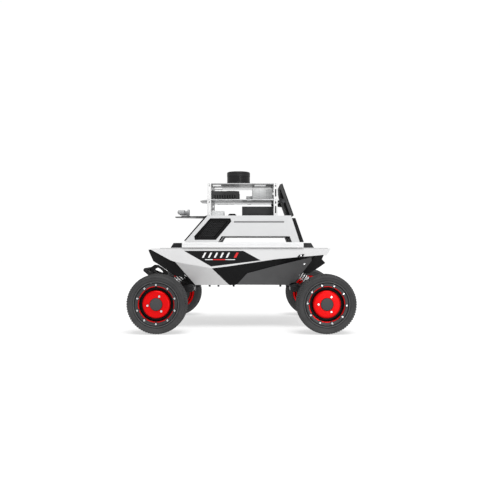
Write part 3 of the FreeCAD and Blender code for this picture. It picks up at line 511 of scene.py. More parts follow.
def tyre(corner, side):
    """Carcass with sidewall ridges, a painted highlight on the ridge by the rim, three rows of blocks and shoulder
    lugs.
    """
    node = corner + "_tyre"
    low, high = extents(node)
    half = (high.y - low.y) / 2
    radius = (high.z - low.z) / 2
    base = radius - 1.4
    piece = Piece(corner + "_tyre_tread", centre_of(node))
    right = [(57, 0), (57.0, half - 6.5), (57.6, half - 3.0), (58.4, half - 2.3), (59.6, half - 2.3),
             (60.4, half - 3.2), (61.4, half - 3.6), (64, half - 2.0), (67.4, half - 1.1),
             (70.4, half - 1.0), (70.9, half - 0.1), (72.2, half - 0.02), (72.9, half - 1.2),
             (74.6, half - 3.0), (76.4, half - 6.5),
             (base - 0.5, half - 12), (base, half - 20)]
    profile = right + [(base, 0)] + [(r, -y) for r, y in reversed(right[1:])]
    piece.lathe(profile, TYRE, steps=144)
    # Painted highlight: a lighter grey band on the sidewall ridge near the rim.
    piece.lathe([(r, y * side) for r, y in ((59.0, half - 2.6), (60.6, half - 2.6), (60.6, half - 1.3),
                                           (59.8, half - 1.0), (59.0, half - 1.3))], RIDGE_PAINTED_HIGHLIGHT, steps=144)
    count = 72
    pitch = 2 * math.pi / count
    for i in range(count):
        angle = i * pitch
        tread_block(piece, base - 0.6, radius - 0.06, angle, pitch * 0.36, -5.2, 5.2, 0.022 * side)
        for way in (-1, 1):
            a = angle + pitch * 0.5
            y0, y1 = sorted((way * 7.4, way * 17.2))
            tread_block(piece, base - 0.6, radius - 0.1, a, pitch * 0.36, y0, y1, -0.02 * way)
            y0, y1 = sorted((way * 19.2, way * (half - 6.4)))
            tread_block(piece, base - 2.4, radius - 0.9, angle, pitch * 0.34, y0, y1, 0.012 * way)
    return piece.finish(corner + "_wheel", [node], bevel=0.3, segments=1)


def rim(corner, side):
    """Red barrel, stepped face, groove lined with black painted shade, and rounded hub disc; the inner skirt runs
    round the motor.
    """
    node = corner + "_rim"
    piece = Piece(corner + "_rim_turned", centre_of(corner + "_tyre"))
    disc = [(r, y) for r, y in arc(31.2, 24, 6, 0, 90, 10)]
    profile = [(8.1, 4), (43.8, 4), (43.8, -33), (46.4, -33), (46.4, 4), (50, 4), (50, -30),
               (52, -31.2), (55.6, -31.2), (56.7, -30), (56.7, -26), (54, -23), (54, 22), (56.7, 25),
               (56.7, 27), (49, 27), (46.6, 26.6), (46, 25.6), (45, 10), (38.6, 10)]
    profile += [(37.2, 22)] + disc + [(17.4, 30), (16.8, 29.2), (16.8, 24), (8.1, 24)]
    piece.lathe([(r, y * side) for r, y in profile], RIM_RED, steps=128)
    # Painted shade: black over the deep groove's floor and walls, where it is shaded.
    rim_groove_painted_shade = [(38.0, 10.1), (44.9, 10.1), (45.9, 25.2), (45.2, 25.4), (43.8, 13), (38.6, 12.5), (37.8, 19)]
    piece.lathe([(r, y * side) for r, y in rim_groove_painted_shade], BLACK, steps=96)
    # Painted shade: black blocks in the gap behind the barrel stand for holes.
    for i in range(18):
        a = 2 * math.pi * i / 18
        hole = [((r * math.cos(a + t)), (r * math.sin(a + t))) for r, t in
                ((47.2, -0.05), (49.4, -0.05), (49.4, 0.05), (47.2, 0.05))]
        y0, y1 = sorted((-27 * side, -6 * side))
        piece.prism(hole, y0, y1, BLACK)
    return piece.finish(corner + "_wheel", [node], bevel=0.25)


def wheel_trim(corner, side, ring_phase, hub_phase):
    """Bead clamp ring with tabs and ten bolts, three hub screws and the centre cap."""
    piece = Piece(corner + "_ring_and_bolts", centre_of(corner + "_tyre"))
    ring = [(48.2, 27.1), (56.8, 27.1), (56.8, 31.0), (55.9, 32.2), (55.0, 32.4), (54.2, 31.9),
            (49.6, 31.9), (48.6, 31.6), (48.2, 31.0)]
    piece.lathe([(r, y * side) for r, y in ring], TRIM_DARK, steps=128)
    cap = [(0, 24.3), (16.3, 24.3), (16.3, 31.0), (15.6, 31.9), (14.4, 32.2), (0, 32.2)]
    piece.lathe([(r, y * side) for r, y in cap], CAP_GREY, steps=72)
    for i in range(10):
        a = math.radians(ring_phase + 36 * i)
        tab = [(r * math.cos(a + t), r * math.sin(a + t)) for r, t in
               ((46.4, -0.045), (48.6, -0.075), (48.6, 0.075), (46.4, 0.045))]
        y0, y1 = sorted((26.8 * side, 30.6 * side))
        piece.prism(tab, y0, y1, TRIM_DARK)
        centre = (51.8 * math.cos(a), 31.8 * side, 51.8 * math.sin(a))
        piece.screw(centre, 2.5, 2.0, STEEL, sign=side)
    for i in range(3):
        a = math.radians(hub_phase + 120 * i)
        centre = (22.7 * math.cos(a), 30.0 * side, 22.7 * math.sin(a))
        piece.lathe([(3.1, 0), (3.6, 0), (3.6, 0.35 * side), (3.1, 0.35 * side)], BLACK, "Y", centre, 24)
        piece.screw(centre, 3.0, 2.0, STEEL, sign=side)
    return piece.finish(corner + "_wheel", [corner + "_wheel_trim"], bevel=0.12, segments=1)


def hub_motor(corner, side):
    """Finned stator can, mounting flange with its screws and the axle."""
    piece = Piece(corner + "_motor_can", centre_of(corner + "_tyre"))
    profile = [(0, -48.9), (29, -48.9), (30, -48.2), (30, -43.4), (34, -42.8), (38, -40)]
    for k in range(3):
        y = -38.5 + 3.4 * k
        profile += [(42.4, y), (42.4, y + 1.8), (40.2, y + 2.2), (40.2, y + 3.2)]
    profile += [(42.4, -27.5), (42.4, 2), (13, 2), (13, 3.1), (7.9, 3.1), (7.9, 21.8), (0, 21.8)]
    piece.lathe([(r, y * side) for r, y in profile], MOTOR_BLACK, steps=96)
    for i in range(6):
        a = math.radians(30 + 60 * i)
        centre = (36.2 * math.cos(a), -41.2 * side, 36.2 * math.sin(a))
        piece.screw(centre, 1.9, 1.6, STEEL, sign=-side)
    return piece.finish(corner + "_arm", [corner + "_hub_motor"], bevel=0.3)


# ---------------------------------------------------------------- suspension

def joint_of(name):
    return [j for j in frame["joints"] if j["name"] == name][0]


def coil_spring(corner):
    """Round wire coiled about the damper's line, closed and ground flat at both ends."""
    joint = joint_of(corner + "_damper_stroke")
    eye = Vector(joint_of(corner + "_damper_turn")["pos_m"])
    way = Vector(joint["axis"]).normalized()
    low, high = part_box(corner + "_coil_spring")
    middle = (low + high) / 2
    centre = eye + way * (middle - eye).dot(way)
    length = 0.0396
    coil, wire, turns = 0.0092, 0.0016, 5.5
    side = way.orthogonal().normalized()
    cross = way.cross(side)
    steps, around = 260, 10
    points, faces = [], []
    for i in range(steps + 1):
        t = i / steps
        turn = 2 * math.pi * turns * t
        ease = min(1.0, t / 0.1, (1 - t) / 0.1)
        reach = -0.5 + wire / length + t * (1 - 2 * wire / length)
        squeeze = 1 if ease >= 1 else 0.35 + 0.65 * ease
        at = centre + way * (reach * length * (0.9 + 0.1 * (2 - squeeze)))
        out = side * math.cos(turn) + cross * math.sin(turn)
        for k in range(around):
            a = 2 * math.pi * k / around
            points.append(at + out * (coil + wire * math.cos(a)) + way * (wire * math.sin(a)))
    for i in range(steps):
        for k in range(around):
            a, b = i * around + k, i * around + (k + 1) % around
            faces.append([a, b, b + around, a + around])
    faces.append(list(range(around)))
    faces.append(list(range(steps * around + around - 1, steps * around - 1, -1)))
    piece = Piece(corner + "_spring_coil")
    piece.shape([p / MM for p in points], faces, SPRING)
    thing = piece.finish(corner + "_damper", [corner + "_coil_spring"], bevel=0, angle=50)
    thing.parent = None
    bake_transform(thing)
    return thing


# ---------------------------------------------------------------- hull

def side_plane(first, second, third):
    """The y of a flat panel as a function of x and z, from three of its points (x, y, z)."""
    first, second, third = Vector(first), Vector(second), Vector(third)
    normal = (second - first).cross(third - first)
    return lambda x, z: first.y - (normal.x * (x - first.x) + normal.z * (z - first.z)) / normal.y


BOW = (191, 150, 190)
WAIST = (86, 157.1, 172)
KEEL = (37, 137.4, 123)
STERN = (-232, 142.1, 210)
UPPER = side_plane((0, 135, 228), BOW, (-191, 150, 190))
REAR = side_plane(WAIST, STERN, KEEL)


def side_decal():
    """Black field on the upper facet with plain slanted bars in place of lettering."""
    piece = Piece("side_decals")
    piece.sheared([(167, 221.6), (-3, 221.6), (-53, 194.4), (88, 177.2)], UPPER, 0.5, 0.25, DECAL_BLACK)
    for i in range(5):
        x = 108 - 17 * i
        bar = [(x, 216.5), (x - 5, 216.5), (x + 2, 202), (x + 7, 202)]
        piece.sheared(bar, UPPER, 0.3, 0.42, DECAL_WHITE)
    piece.sheared([(17, 216.5), (10, 216.5), (17, 202), (24, 202)], UPPER, 0.3, 0.42, DECAL_RED)
    piece.sheared([(106, 197.5), (20, 197.5), (21, 195.5), (106, 195.5)], UPPER, 0.3, 0.42, DECAL_WHITE)
    piece.sheared([(84, 197.7), (48, 197.7), (48, 195.3), (84, 195.3)], UPPER, 0.3, 0.52, DECAL_RED)
    piece.mirror_y()
    return piece.finish("chassis", bevel=0)


def accent_panels():
    """Gloss black panels below the crease with two nested steps that follow the outline."""
    piece = Piece("accent_panels_stepped")
    whole = [(85.4, 171.6), (35, 177.5), (-93, 196.6), (-157.5, 202.6), (-171.5, 197), (-85, 177),
             (-13, 158), (17, 124), (36.4, 123)]
    piece.sheared(whole, REAR, 2.4, -0.6, BLACK_GLOSS)
    edge = [(85.4, 171.6), (35, 177.5), (-93, 196.6), (-157.5, 202.6), (-160, 200.9), (-93, 193.4),
            (34, 173.6), (73, 168.9), (31.5, 127.5), (21, 127.5), (17, 124), (36.4, 123)]
    piece.sheared(edge, REAR, 1.4, 0, BLACK_GLOSS)
    fin = [(62, 166.4), (28, 170.6), (-93, 190.3), (-160, 199), (-168, 197.4), (-85, 178.4), (-12, 159.5),
           (-1, 148), (30, 150)]
    piece.sheared(fin, REAR, 1.6, -0.1, BLACK_GLOSS)
    spine = [(40, 163.5), (10, 165.2), (-60, 176), (-120, 187.4), (-85, 179.2), (-9, 160.2), (6, 154),
             (27, 155)]
    piece.sheared(spine, REAR, 1.8, 0.35, BLACK_GLOSS)
    keel = [(28, 146), (4, 143), (18, 128), (27, 129)]
    piece.sheared(keel, REAR, 1.6, -0.1, BLACK_GLOSS)
    piece.mirror_y()
    return piece.finish("chassis", ["accent_panels"], bevel=0.35)


def hull_screws():
    """Belly screws, side catches, skirt screws, deck screws, shoulder bolts and pivot nuts."""
    piece = Piece("hull_fasteners")
    belly_head = [(0, -8.4), (2.6, -8.4), (3.1, -7.6), (3.1, 0), (0, 0)]
    for x in (97, 71, 26, -112):
        for y in (-80, 80):
            piece.lathe(belly_head, DARK_STEEL, "Z", (x, y, 124), 24)
    for x in (-228, -120, 0, 120, 226):
        piece.screw((x, 126, 229.2), 2.4, 1.2, DARK_STEEL, "Z")
    piece.screw((-178, REAR(-178, 184) + 0.2, 184), 2.6, 1.8, STEEL)
    catch = [(-157, 204.6), (-165, 211.4), (-177.5, 212.4), (-174, 205.6)]
    piece.sheared(catch, UPPER, 3.4, 4.0, BLACK)
    piece.sheared([(-163, 206), (-167, 209.8), (-173.6, 210.4), (-171.8, 206.6)], UPPER, 1.4, 4.8, BLACK)
    piece.screw((-167.6, UPPER(-167.6, 208) + 4.4, 208.2), 2.3, 1.4, STEEL)
    for way in (1, -1):
        piece.lathe([(0, 103.2), (4, 103.2), (4, 125.6), (6.4, 125.6), (6.4, 128.4), (5.6, 129),
                     (3, 129), (3, 127), (0, 127)], STEEL, "Y", (150 * way, 0, 168), 32)
        piece.lathe([(0, 153.1), (7.4, 153.1), (7.4, 156), (6.4, 157), (0, 157)], DARK_STEEL, "Y",
                    (148 * way, 0, 115), 6)
    piece.mirror_y()
    return piece.finish("chassis", ["fasteners"], bevel=0.15, segments=1)


def power_button():
    """Round push cap with a lit ring set in its top."""
    low, high = extents("power_button")
    middle = (low + high) / 2
    top = high.z
    piece = Piece("power_button_cap")
    cap = [(0, low.z), (3.9, low.z), (3.9, top - 6.5), (8.9, top - 6.5), (8.9, top - 0.8),
           (8.2, top - 0.1), (6.4, top - 0.1), (6.2, top - 0.7), (0, top - 0.9)]
    ring = [(5.0, top - 0.8), (6.0, top - 0.8), (6.0, top - 0.35), (5.0, top - 0.35)]
    piece.lathe(cap, STEEL, "Z", (middle.x, middle.y, 0), 64)
    piece.lathe(ring, BLUE_LAMP, "Z", (middle.x, middle.y, 0), 64)
    return piece.finish("button", ["power_button"], bevel=0.15)


# ---------------------------------------------------------------- sensor kit

def side_grilles():
    """Deep bevelled frame, slanted slats and thin bars that lean across them, over a dark sheet of painted shade.
    """
    low, high = extents("side_grilles")
    face = high.y
    piece = Piece("side_grilles_louvred")
    outer = [(91.5, 314.4), (34.6, 314.4), (31.7, 306), (75.8, 253.6), (135.4, 253.6), (137.3, 263)]
    middle = [(90, 311.6), (37.2, 311.6), (35, 306.2), (77.2, 256.2), (133, 256.2), (134.4, 263.2)]
    inner = [(87.5, 308), (42, 308), (41, 306), (80, 259.5), (130, 259.5), (130.8, 263.4)]
    piece.frame(outer, middle, face - 6, face + 0.4, BLACK_GLOSS)
    piece.frame(middle, inner, face - 8.6, face - 1.8, BLACK)
    # Painted shade: a dark sheet behind the slats for the shaded inside.
    piece.prism(inner, face - 8.8, face - 8.2, BLACK_AND_PAINTED_SHADE)
    rows = 9
    for i in range(rows):
        level = 262.0 + 5.1 * i
        rear = 80 - (level - 259.5) * 39 / 46.5
        front = 130.8 - (level - 263.4) * 43.3 / 44.6
        slat = [(level, face - 8.0), (level + 1.2, face - 8.0), (level + 3.4, face - 3.2),
                (level + 2.4, face - 2.6)]
        points = [(rear, y, z) for z, y in slat] + [(front, y, z) for z, y in slat]
        faces = [[0, 1, 2, 3], [7, 6, 5, 4], [0, 4, 5, 1], [1, 5, 6, 2], [2, 6, 7, 3], [3, 7, 4, 0]]
        piece.shape(points, faces, BLACK)
    for k in range(9):
        x = 84 + 5.2 * k
        shift = 39 / 46.5 * 46
        bar = [(x, 260), (x + 1.2, 260), (x + 1.2 - shift, 307), (x - shift, 307)]
        piece.prism(bar, face - 3.4, face - 2.5, CAP_GREY)
    piece.mirror_y()
    return piece.finish("chassis", ["side_grilles"], bevel=0.3, segments=1)


def kit_screws():
    """Button heads on posts and top plate, dark painted shade in the post slots and a grey strip of painted shade
    in the cabin's groove.
    """
    piece = Piece("kit_screws")
    for x in (-97.4, 97.4):
        for z in (325.4, 371.5, 418.0):
            piece.screw((x, 100.1, z), 1.4, 0.8, STEEL)
    # Painted shade: dark boxes for the shade in the posts' slots.
    for z0, z1 in ((332, 353), (360, 365.6), (380.8, 402.4), (410, 413.6)):
        piece.box((-99.3, 96.6, z0), (-95.6, 100.25, z1), BLACK_AND_PAINTED_SHADE)
    # Painted shade: a grey strip along the cabin's groove.
    piece.box((-119.8, 136.8, 302.4), (23.8, 137.9, 306.8), GROOVE_PAINTED_SHADE)
    piece.mirror_y()
    for x in (-92, 92):
        for y in (-80, 80):
            piece.screw((x, y, 420), 2.0, 1.2, STEEL, "Z")
    for x in (-11, 37):
        for y in (-42, 42):
            piece.screw((x, y, 420), 1.7, 1.0, DARK_STEEL, "Z")
    return piece.finish("chassis", bevel=0.12, segments=1)


def computer():
    """Vented case with fins, a round fan and a row of connectors front and back."""
    low, high = extents("computer")
    floor = low.z
    top = high.z - 4.4
    piece = Piece("computer_case")
    core = [(low.x + 1, floor), (high.x - 1, floor), (high.x, floor + 1.5), (high.x, top - 3),
            (high.x - 3, top), (low.x + 3, top), (low.x, top - 3), (low.x, floor + 1.5)]
    # The near-black core shows through the vent gaps as their painted shade.
    piece.prism(core, low.y + 3, high.y - 3, BLACK_AND_PAINTED_SHADE)
    vents = 9
    for way in (1, -1):
        y0, y1 = sorted((way * (high.y - 3), way * high.y))
        piece.box((low.x, y0, floor), (high.x, y1, floor + 6.5), CASE_GREY)
        piece.box((low.x, y0, floor + 16.5), (high.x, y1, top - 0.6), CASE_GREY)
        edges = [low.x] + [22 + 7.4 * i for i in range(vents)]
        for i, x in enumerate(edges):
            start = x if i == 0 else x + 2.8
            end = edges[i + 1] if i + 1 < len(edges) else high.x
            piece.box((start, y0, floor + 6.3), (end, y1, floor + 16.7), CASE_GREY)
    for i in range(8):
        x = 58 + 4.6 * i
        piece.box((x, -44, top - 0.5), (x + 1.8, 44, top + 1.2), CASE_GREY)
    fan_x, fan_top = 35, high.z - 0.1
    fan_rim = [(19, top - 1), (19, top + 3), (17.2, top + 3), (17.2, top - 1)]
    piece.lathe(fan_rim, BLACK, "Z", (fan_x, 0, 0), 64)
    piece.lathe([(0, top - 0.5), (6, top - 0.5), (6, fan_top - 1), (5, fan_top), (0, fan_top)], TRIM_DARK,
                "Z", (fan_x, 0, 0), 32)
    for i in range(24):
        a = 2 * math.pi * i / 24
        fin = [(fan_x + r * math.cos(a + t), r * math.sin(a + t)) for r, t in
               ((9, -0.06), (18.6, -0.03), (18.6, 0.03), (9, 0.06))]
        piece.prism(fin, top - 0.4, fan_top - 0.4, BOX_WHITE if i % 2 else BLACK, "XY")
    connectors = ((-44, -30, 5, 18), (-26, -12, 5, 18), (-8, 8, 6, 12), (12, 20, 6, 12), (26, 40, 5, 15))
    for x, way in ((high.x, 1), (low.x, -1)):
        for y0, y1, z0, z1 in connectors:
            a, b = sorted((x - way * 1.5, x + way * 0.15))
            piece.box((a, y0, floor + z0), (b, y1, floor + z1), STEEL)
            # Connector openings are near-black insets: partly dark parts, partly painted shade.
            a, b = sorted((x - way * 1.2, x + way * 0.25))
            piece.box((a, y0 + 1.2, floor + z0 + 1.2), (b, y1 - 1.2, floor + z1 - 1.2), BLACK_AND_PAINTED_SHADE)
    return piece.finish("chassis", ["computer"], bevel=0.3, segments=1)


def rounded_rectangle(x0, x1, y0, y1, radius, steps=5):
    left, right = x0 + radius, x1 - radius
    near, far = y0 + radius, y1 - radius
    return (arc(right, far, radius, 0, 90, steps) + arc(left, far, radius, 90, 180, steps)
            + arc(left, near, radius, 180, 270, steps) + arc(right, near, radius, 270, 360, steps))


def equipment_boxes():
    """Router, serial hub, power converter, USB hub and relay module with their ports."""
    piece = Piece("equipment_cases")
    low, high = extents("equipment_boxes")
    roof = low.z
    shelf = extents("mid_plate")[1].z
    piece.prism(rounded_rectangle(-90, -29, -58, 58, 2.5), shelf, shelf + 33.4, BOX_WHITE, "XY")
    # Ports on these boxes are near-black patches: partly dark parts, partly painted shade of the openings.
    for i in range(4):
        piece.box((-29.2, -40 + 22 * i, shelf + 15), (-28.8, -26 + 22 * i, shelf + 26), BLACK_AND_PAINTED_SHADE)
    for x in (-72, -50):
        for way in (1, -1):
            y0, y1 = sorted((way * 57.6, way * 58.1))
            piece.box((x, y0, shelf + 2), (x + 0.8, y1, shelf + 31), SILVER)
    piece.prism(rounded_rectangle(-30, -11, -40, 40, 1.5), shelf, shelf + 13.4, BOX_WHITE, "XY")
    for y in (-30, -10, 10, 30):
        piece.box((-11.3, y - 6, shelf + 3), (-10.8, y + 6, shelf + 9), BLACK_AND_PAINTED_SHADE)
    piece.prism(rounded_rectangle(-92, 1.5, -60, 60, 2), roof, roof + 31, CASE_GREY, "XY")
    for i in range(14):
        y = -54 + 8 * i
        piece.box((-86, y, roof + 30.8), (-4, y + 3, roof + 31.4), BLACK)
    piece.box((1.2, -40, roof + 6), (1.8, -16, roof + 22), STEEL)
    piece.box((1.4, -38, roof + 8), (2, -18, roof + 20), BLACK_AND_PAINTED_SHADE)
    piece.prism(rounded_rectangle(55, 92, 38, 84, 2), roof, roof + 16.4, BOX_WHITE, "XY")
    for y in (44, 54, 64, 74):
        piece.box((54.6, y, roof + 4), (55.2, y + 6, roof + 11), BLACK_AND_PAINTED_SHADE)
    piece.prism(rounded_rectangle(20.1, 44.4, -18, 22, 4), roof, roof + 9.4, BLACK, "XY")
    piece.prism(rounded_rectangle(23, 41.6, -14, 18, 4), roof + 9.2, roof + 11.8, CASE_GREY, "XY")
    piece.box((20, -10, roof + 3), (20.4, -4, roof + 6), GREEN_LAMP)
    return piece.finish("chassis", ["equipment_boxes"], bevel=0.5, segments=2)


def depth_camera():
    """Silver camera bar with a black glass front and lenses, held by a round flange on a foot."""
    floor = extents("camera_shelf")[1].z
    centre = floor + 12.2
    piece = Piece("depth_camera_bar")
    half = 44.8
    bar = rounded_rectangle(-half, half, centre - 6.4, centre + 6.4, 5.6, 8)
    piece.prism(bar, 176.4, 193.8, SILVER, "YZ")
    piece.prism(rounded_rectangle(-half + 1.6, half - 1.6, centre - 4.9, centre + 4.9, 4.4, 8), 193.5, 195.2,
                GLASS, "YZ")
    barrel = [(0, 194.8), (4.2, 194.8), (4.2, 196.4), (3.2, 196.7), (2.9, 195.7), (0, 195.9)]
    for y in (-32, -12, 12, 32):
        piece.lathe(barrel, TRIM_DARK, "X", (0, y, centre), 32)
        piece.lathe([(0, 195.7), (2.6, 195.7), (1.6, 196.2), (0, 196.5)], GLASS, "X", (0, y, centre), 24)
    piece.lathe([(0, 164), (9.6, 164), (10.4, 164.8), (10.4, 169.2), (9.6, 170), (6.4, 170.4), (6, 177),
                 (0, 177)], SILVER, "X", (0, 0, centre), 64)
    foot = [(160.4, floor), (187.6, floor), (187.6, floor + 2.2), (160.4, floor + 2.2)]
    piece.prism(foot, -13.6, 13.6, SILVER)
    piece.prism([(164.4, floor + 2), (173, floor + 2), (169.6, centre), (164.4, centre)], -5, 5, SILVER)
    for y in (-10, 10):
        piece.screw((182, y, floor + 2.1), 1.8, 1.2, STEEL, "Z")
    return piece.finish("chassis", ["depth_camera"], bevel=0.35)


def lidar(base_node="lidar_housing"):
    """Scanner: ribbed base, glossy window band between two seams and a rounded cap."""
    low, high = extents(base_node)
    middle = (low + high) / 2
    base, top = low.z, high.z
    radius = (high.x - low.x) / 2
    outer = [(radius - 0.05, base + 1), (radius - 0.05, base + 7.6), (radius - 0.6, base + 8),
             (radius - 0.6, base + 8.8), (radius - 0.05, base + 9.2), (radius - 0.05, base + 11.4),
             (radius - 0.7, base + 11.8)]
    cap = [(radius - 0.7, top - 14.4), (radius - 0.05, top - 14), (radius - 0.05, top - 8),
           (radius - 0.6, top - 7.7), (radius - 0.6, top - 7.1), (radius - 0.05, top - 6.8)]
    dome = arc(radius - 3.5, top - 3.4, 3.4, 0, 90, 7)
    piece = Piece("scanner_housing")
    at = (middle.x, middle.y, 0)
    body = [(0, base), (radius - 1, base)] + outer + [(30.5, base + 11.8), (30.5, base + 7), (0, base + 7)]
    piece.lathe(body, LIDAR, "Z", at, 112)
    band = [(radius - 0.35, base + 11.9), (radius - 0.35, top - 14.5), (31.4, top - 14.5),
            (31.4, base + 11.9)]
    piece.lathe(band, WINDOW, "Z", at, 112)
    piece.lathe(cap + dome + [(20, top), (19.6, top - 0.5), (0, top - 0.5), (0, top - 4), (30.5, top - 4),
                              (30.5, top - 14.4)], LIDAR, "Z", at, 112)
    piece.box((middle.x - 36.4, -5, base + 2), (middle.x - 34.8, 5, base + 7), BLACK_AND_PAINTED_SHADE)
    return piece.finish("chassis", [base_node], bevel=0.2)


MONITOR_LEAN = 19.7
MONITOR_FOOT = (-152, 0, 326)


def monitor():
    """Screen in a slim bezel with a bevelled back, vents of dark painted shade and hinge bosses."""
    hinge = Vector(joint_of("screen_tilt")["pos_m"]) / MM
    tilt = math.radians(MONITOR_LEAN)
    foot = Vector(MONITOR_FOOT)
    piece = Piece("monitor_shell")
    half = 82.4
    height = 100.9
    slab = [(2.6, 0.3), (9.6, 0.3), (10.4, 1.4), (10.4, height - 3), (8, height - 0.4), (2.6, height - 0.4)]
    bulge = [(10, 3), (13, 6), (16.5, 14), (16.8, 66), (13, 86), (10, 90)]
    piece.prism(slab, -half, half, CASE_GREY)
    piece.prism(bulge, -66, 66, BLACK)
    bezel_out = [(-half, 0.2), (half, 0.2), (half, height - 0.2), (-half, height - 0.2)]
    bezel_in = [(-half + 5, 7), (half - 5, 7), (half - 5, height - 5), (-half + 5, height - 5)]
    points = [(x, y, z) for x in (0.05, 3.0) for y, z in bezel_out + bezel_in]
    faces = []
    for i in range(4):
        j = (i + 1) % 4
        faces += [[i, j, 4 + j, 4 + i], [8 + i, 12 + i, 12 + j, 8 + j], [i, 8 + i, 8 + j, j],
                  [4 + i, 4 + j, 12 + j, 12 + i]]
    piece.shape(points, faces, BLACK)
    piece.prism([(y, z) for y, z in bezel_in], 0.7, 2.7, SCREEN, "YZ")
    # Painted shade: vents as dark boxes on the back.
    for i in range(10):
        piece.box((16.6, -36 + 7.4 * i, 52), (17.0, -32.6 + 7.4 * i, 64), BLACK_AND_PAINTED_SHADE)
    turn = Matrix.Rotation(tilt, 4, "Y")
    shift = Matrix.Translation(foot * MM)
    bmesh.ops.transform(piece.bm, matrix=shift @ turn, verts=piece.bm.verts[:])
    for way in (1, -1):
        boss = [(0, 62 * way), (7, 62 * way), (7, 81 * way), (6, 82.2 * way), (0, 82.2 * way)]
        piece.lathe(boss, BLACK, "Y", (hinge.x, 0, hinge.z), 48)
        piece.lathe([(0, 82 * way), (2.95, 82 * way), (2.95, 86.6 * way), (0, 86.6 * way)], DARK_STEEL, "Y",
                    (hinge.x, 0, hinge.z), 32)
        piece.lathe([(0, 86.6 * way), (4.8, 86.6 * way), (4.8, 87.2 * way), (3.8, 87.45 * way),
                     (3.2, 87.45 * way), (2.6, 86.9 * way), (0, 86.9 * way)], TRIM_DARK, "Y",
                    (hinge.x, 0, hinge.z), 32)
    return piece.finish("screen", ["monitor"], bevel=0.5)


# ---------------------------------------------------------------- build

for corner in CORNERS:
    side = 1 if corner.endswith("left") else -1
    tyre(corner, side)
    rim(corner, side)
    wheel_trim(corner, side, *((18, 112) if corner.startswith("front") else (3, 0)))
    hub_motor(corner, side)
    coil_spring(corner)
    refined(corner + "_swing_arm", ARM_BLACK, 0.8)
    refined(corner + "_damper_body", DARK_STEEL, 0.3)
    refined(corner + "_damper_rod", CHROME, 0.3)

refined("chassis_tub", TUB_BLACK, 0.8)
refined("side_covers", WHITE, 0.6)
refined("skirt_panels", GREY, 0.5)
refined("nose_cover", BLACK, 1.0)
refined("tail_cover", BLACK, 0.8)
refined("deck_plate", WHITE, 0.5)
refined("deck_rails", RAIL_BLACK, 0.4)
refined("front_guard", ARM_BLACK, 0.8)
refined("battery_pack", BATTERY, 1.5)
refined("controller_board", PCB, 0.2)
refined("kit_base", BASE_WHITE, 0.6)
refined("kit_housing", KIT_WHITE, 0.6)
refined("end_panels", BLACK, 0.6)
refined("corner_posts", POST_WHITE, 0.3)
# Mid and top plates carry painted shade on their undersides.
refined("mid_plate", PLATE_PAINTED_SHADE, 0.3)
refined("top_plate", PLATE_PAINTED_SHADE, 0.3)
refined("camera_shelf", RAIL_BLACK, 0.3)
refined("monitor_bracket", RAIL_BLACK, 0.4)
refined("lidar_rotor", TRIM_DARK, 0.4)
side_decal()
accent_panels()
hull_screws()
power_button()
side_grilles()
kit_screws()
computer()
equipment_boxes()
depth_camera()
lidar()
monitor()


# ---------------------------------------------------------------- stage

FLOOR_GLOW = 0.6
BACKDROP = 1.02
SKY = 0.55
SUN_FROM = (-0.1, 0.36, 0.93)
SUN_STRENGTH = 2.1
SUN_SPREAD = 36
SOFT_BOX_AT = (-0.75, 2.1, 0.25)
SOFT_BOX_AIM = (-0.25, 0, 0.08)
SOFT_BOX_WIDTH = 0.7
SOFT_BOX_ENERGY = 7
CAMERA_AT = (-0.0223, 1.997, 0.224)
CAMERA_LENS = 46.66


def floor():
    """Pale floor that glows a little, so that shadows on it stay light."""
    mesh = bpy.data.meshes.new("floor")
    half = 9.0
    corners = [(-half, -half, 0), (half, -half, 0), (half, half, 0), (-half, half, 0)]
    mesh.from_pydata(corners, [], [(0, 1, 2, 3)])
    s = Shader("floor_white", (0.44, 0.44, 0.44), 0.9, specular=0.0)
    s.tint(s.noise(3), 0.998, 1.002)
    s.bsdf.inputs["Emission Color"].default_value = (1, 1, 1, 1)
    s.bsdf.inputs["Emission Strength"].default_value = FLOOR_GLOW
    mesh.materials.append(s.material)
    thing = bpy.data.objects.new("floor", mesh)
    bpy.context.scene.collection.objects.link(thing)


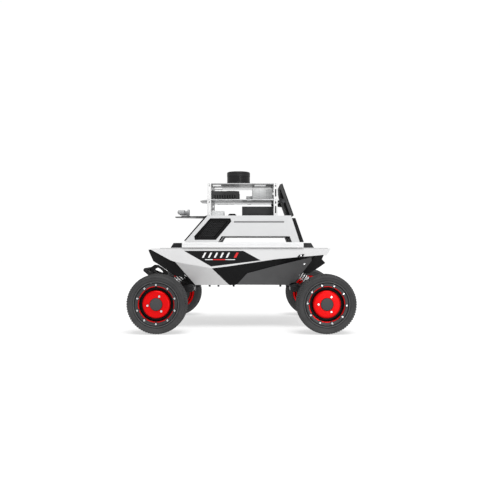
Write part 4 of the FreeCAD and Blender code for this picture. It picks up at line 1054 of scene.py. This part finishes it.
def area_light(name, place, target, width, energy):
    """Round soft box at a place, turned to a target."""
    data = bpy.data.lights.new(name, "AREA")
    data.shape = "DISK"
    data.size = width
    data.energy = energy
    thing = bpy.data.objects.new(name, data)
    bpy.context.scene.collection.objects.link(thing)
    thing.location = place
    thing.rotation_euler = (Vector(target) - Vector(place)).to_track_quat("-Z", "Y").to_euler()


def world_light(seen, strength):
    """A white backdrop for the camera and a dimmer sky for lighting."""
    world = bpy.data.worlds.new("studio")
    world.use_nodes = True
    tree = world.node_tree
    sky = tree.nodes["Background"]
    sky.inputs["Color"].default_value = (1, 1, 1, 1)
    sky.inputs["Strength"].default_value = strength
    backdrop = tree.nodes.new("ShaderNodeBackground")
    backdrop.inputs["Color"].default_value = (1, 1, 1, 1)
    backdrop.inputs["Strength"].default_value = seen
    path = tree.nodes.new("ShaderNodeLightPath")
    mix = tree.nodes.new("ShaderNodeMixShader")
    tree.links.new(path.outputs["Is Camera Ray"], mix.inputs["Fac"])
    tree.links.new(sky.outputs["Background"], mix.inputs[1])
    tree.links.new(backdrop.outputs["Background"], mix.inputs[2])
    tree.links.new(mix.outputs["Shader"], tree.nodes["World Output"].inputs["Surface"])
    bpy.context.scene.world = world


def sun_light(direction, strength, spread):
    """Broad soft light that comes from the given direction."""
    data = bpy.data.lights.new("sun", "SUN")
    data.energy = strength
    data.angle = math.radians(spread)
    thing = bpy.data.objects.new("sun", data)
    bpy.context.scene.collection.objects.link(thing)
    thing.rotation_euler = (-Vector(direction)).to_track_quat("-Z", "Y").to_euler()


def camera():
    """Level view of the robot's left side from 2 m."""
    data = bpy.data.cameras.new("camera")
    data.sensor_width = 36
    data.lens = CAMERA_LENS
    thing = bpy.data.objects.new("camera", data)
    bpy.context.scene.collection.objects.link(thing)
    thing.location = CAMERA_AT
    thing.rotation_euler = (math.radians(90), 0, math.radians(180))
    bpy.context.scene.camera = thing


floor()
world_light(BACKDROP, SKY)
sun_light(SUN_FROM, SUN_STRENGTH, SUN_SPREAD)
area_light("side", SOFT_BOX_AT, SOFT_BOX_AIM, SOFT_BOX_WIDTH, SOFT_BOX_ENERGY)
camera()
bpy.context.scene.view_settings.view_transform = "Standard"
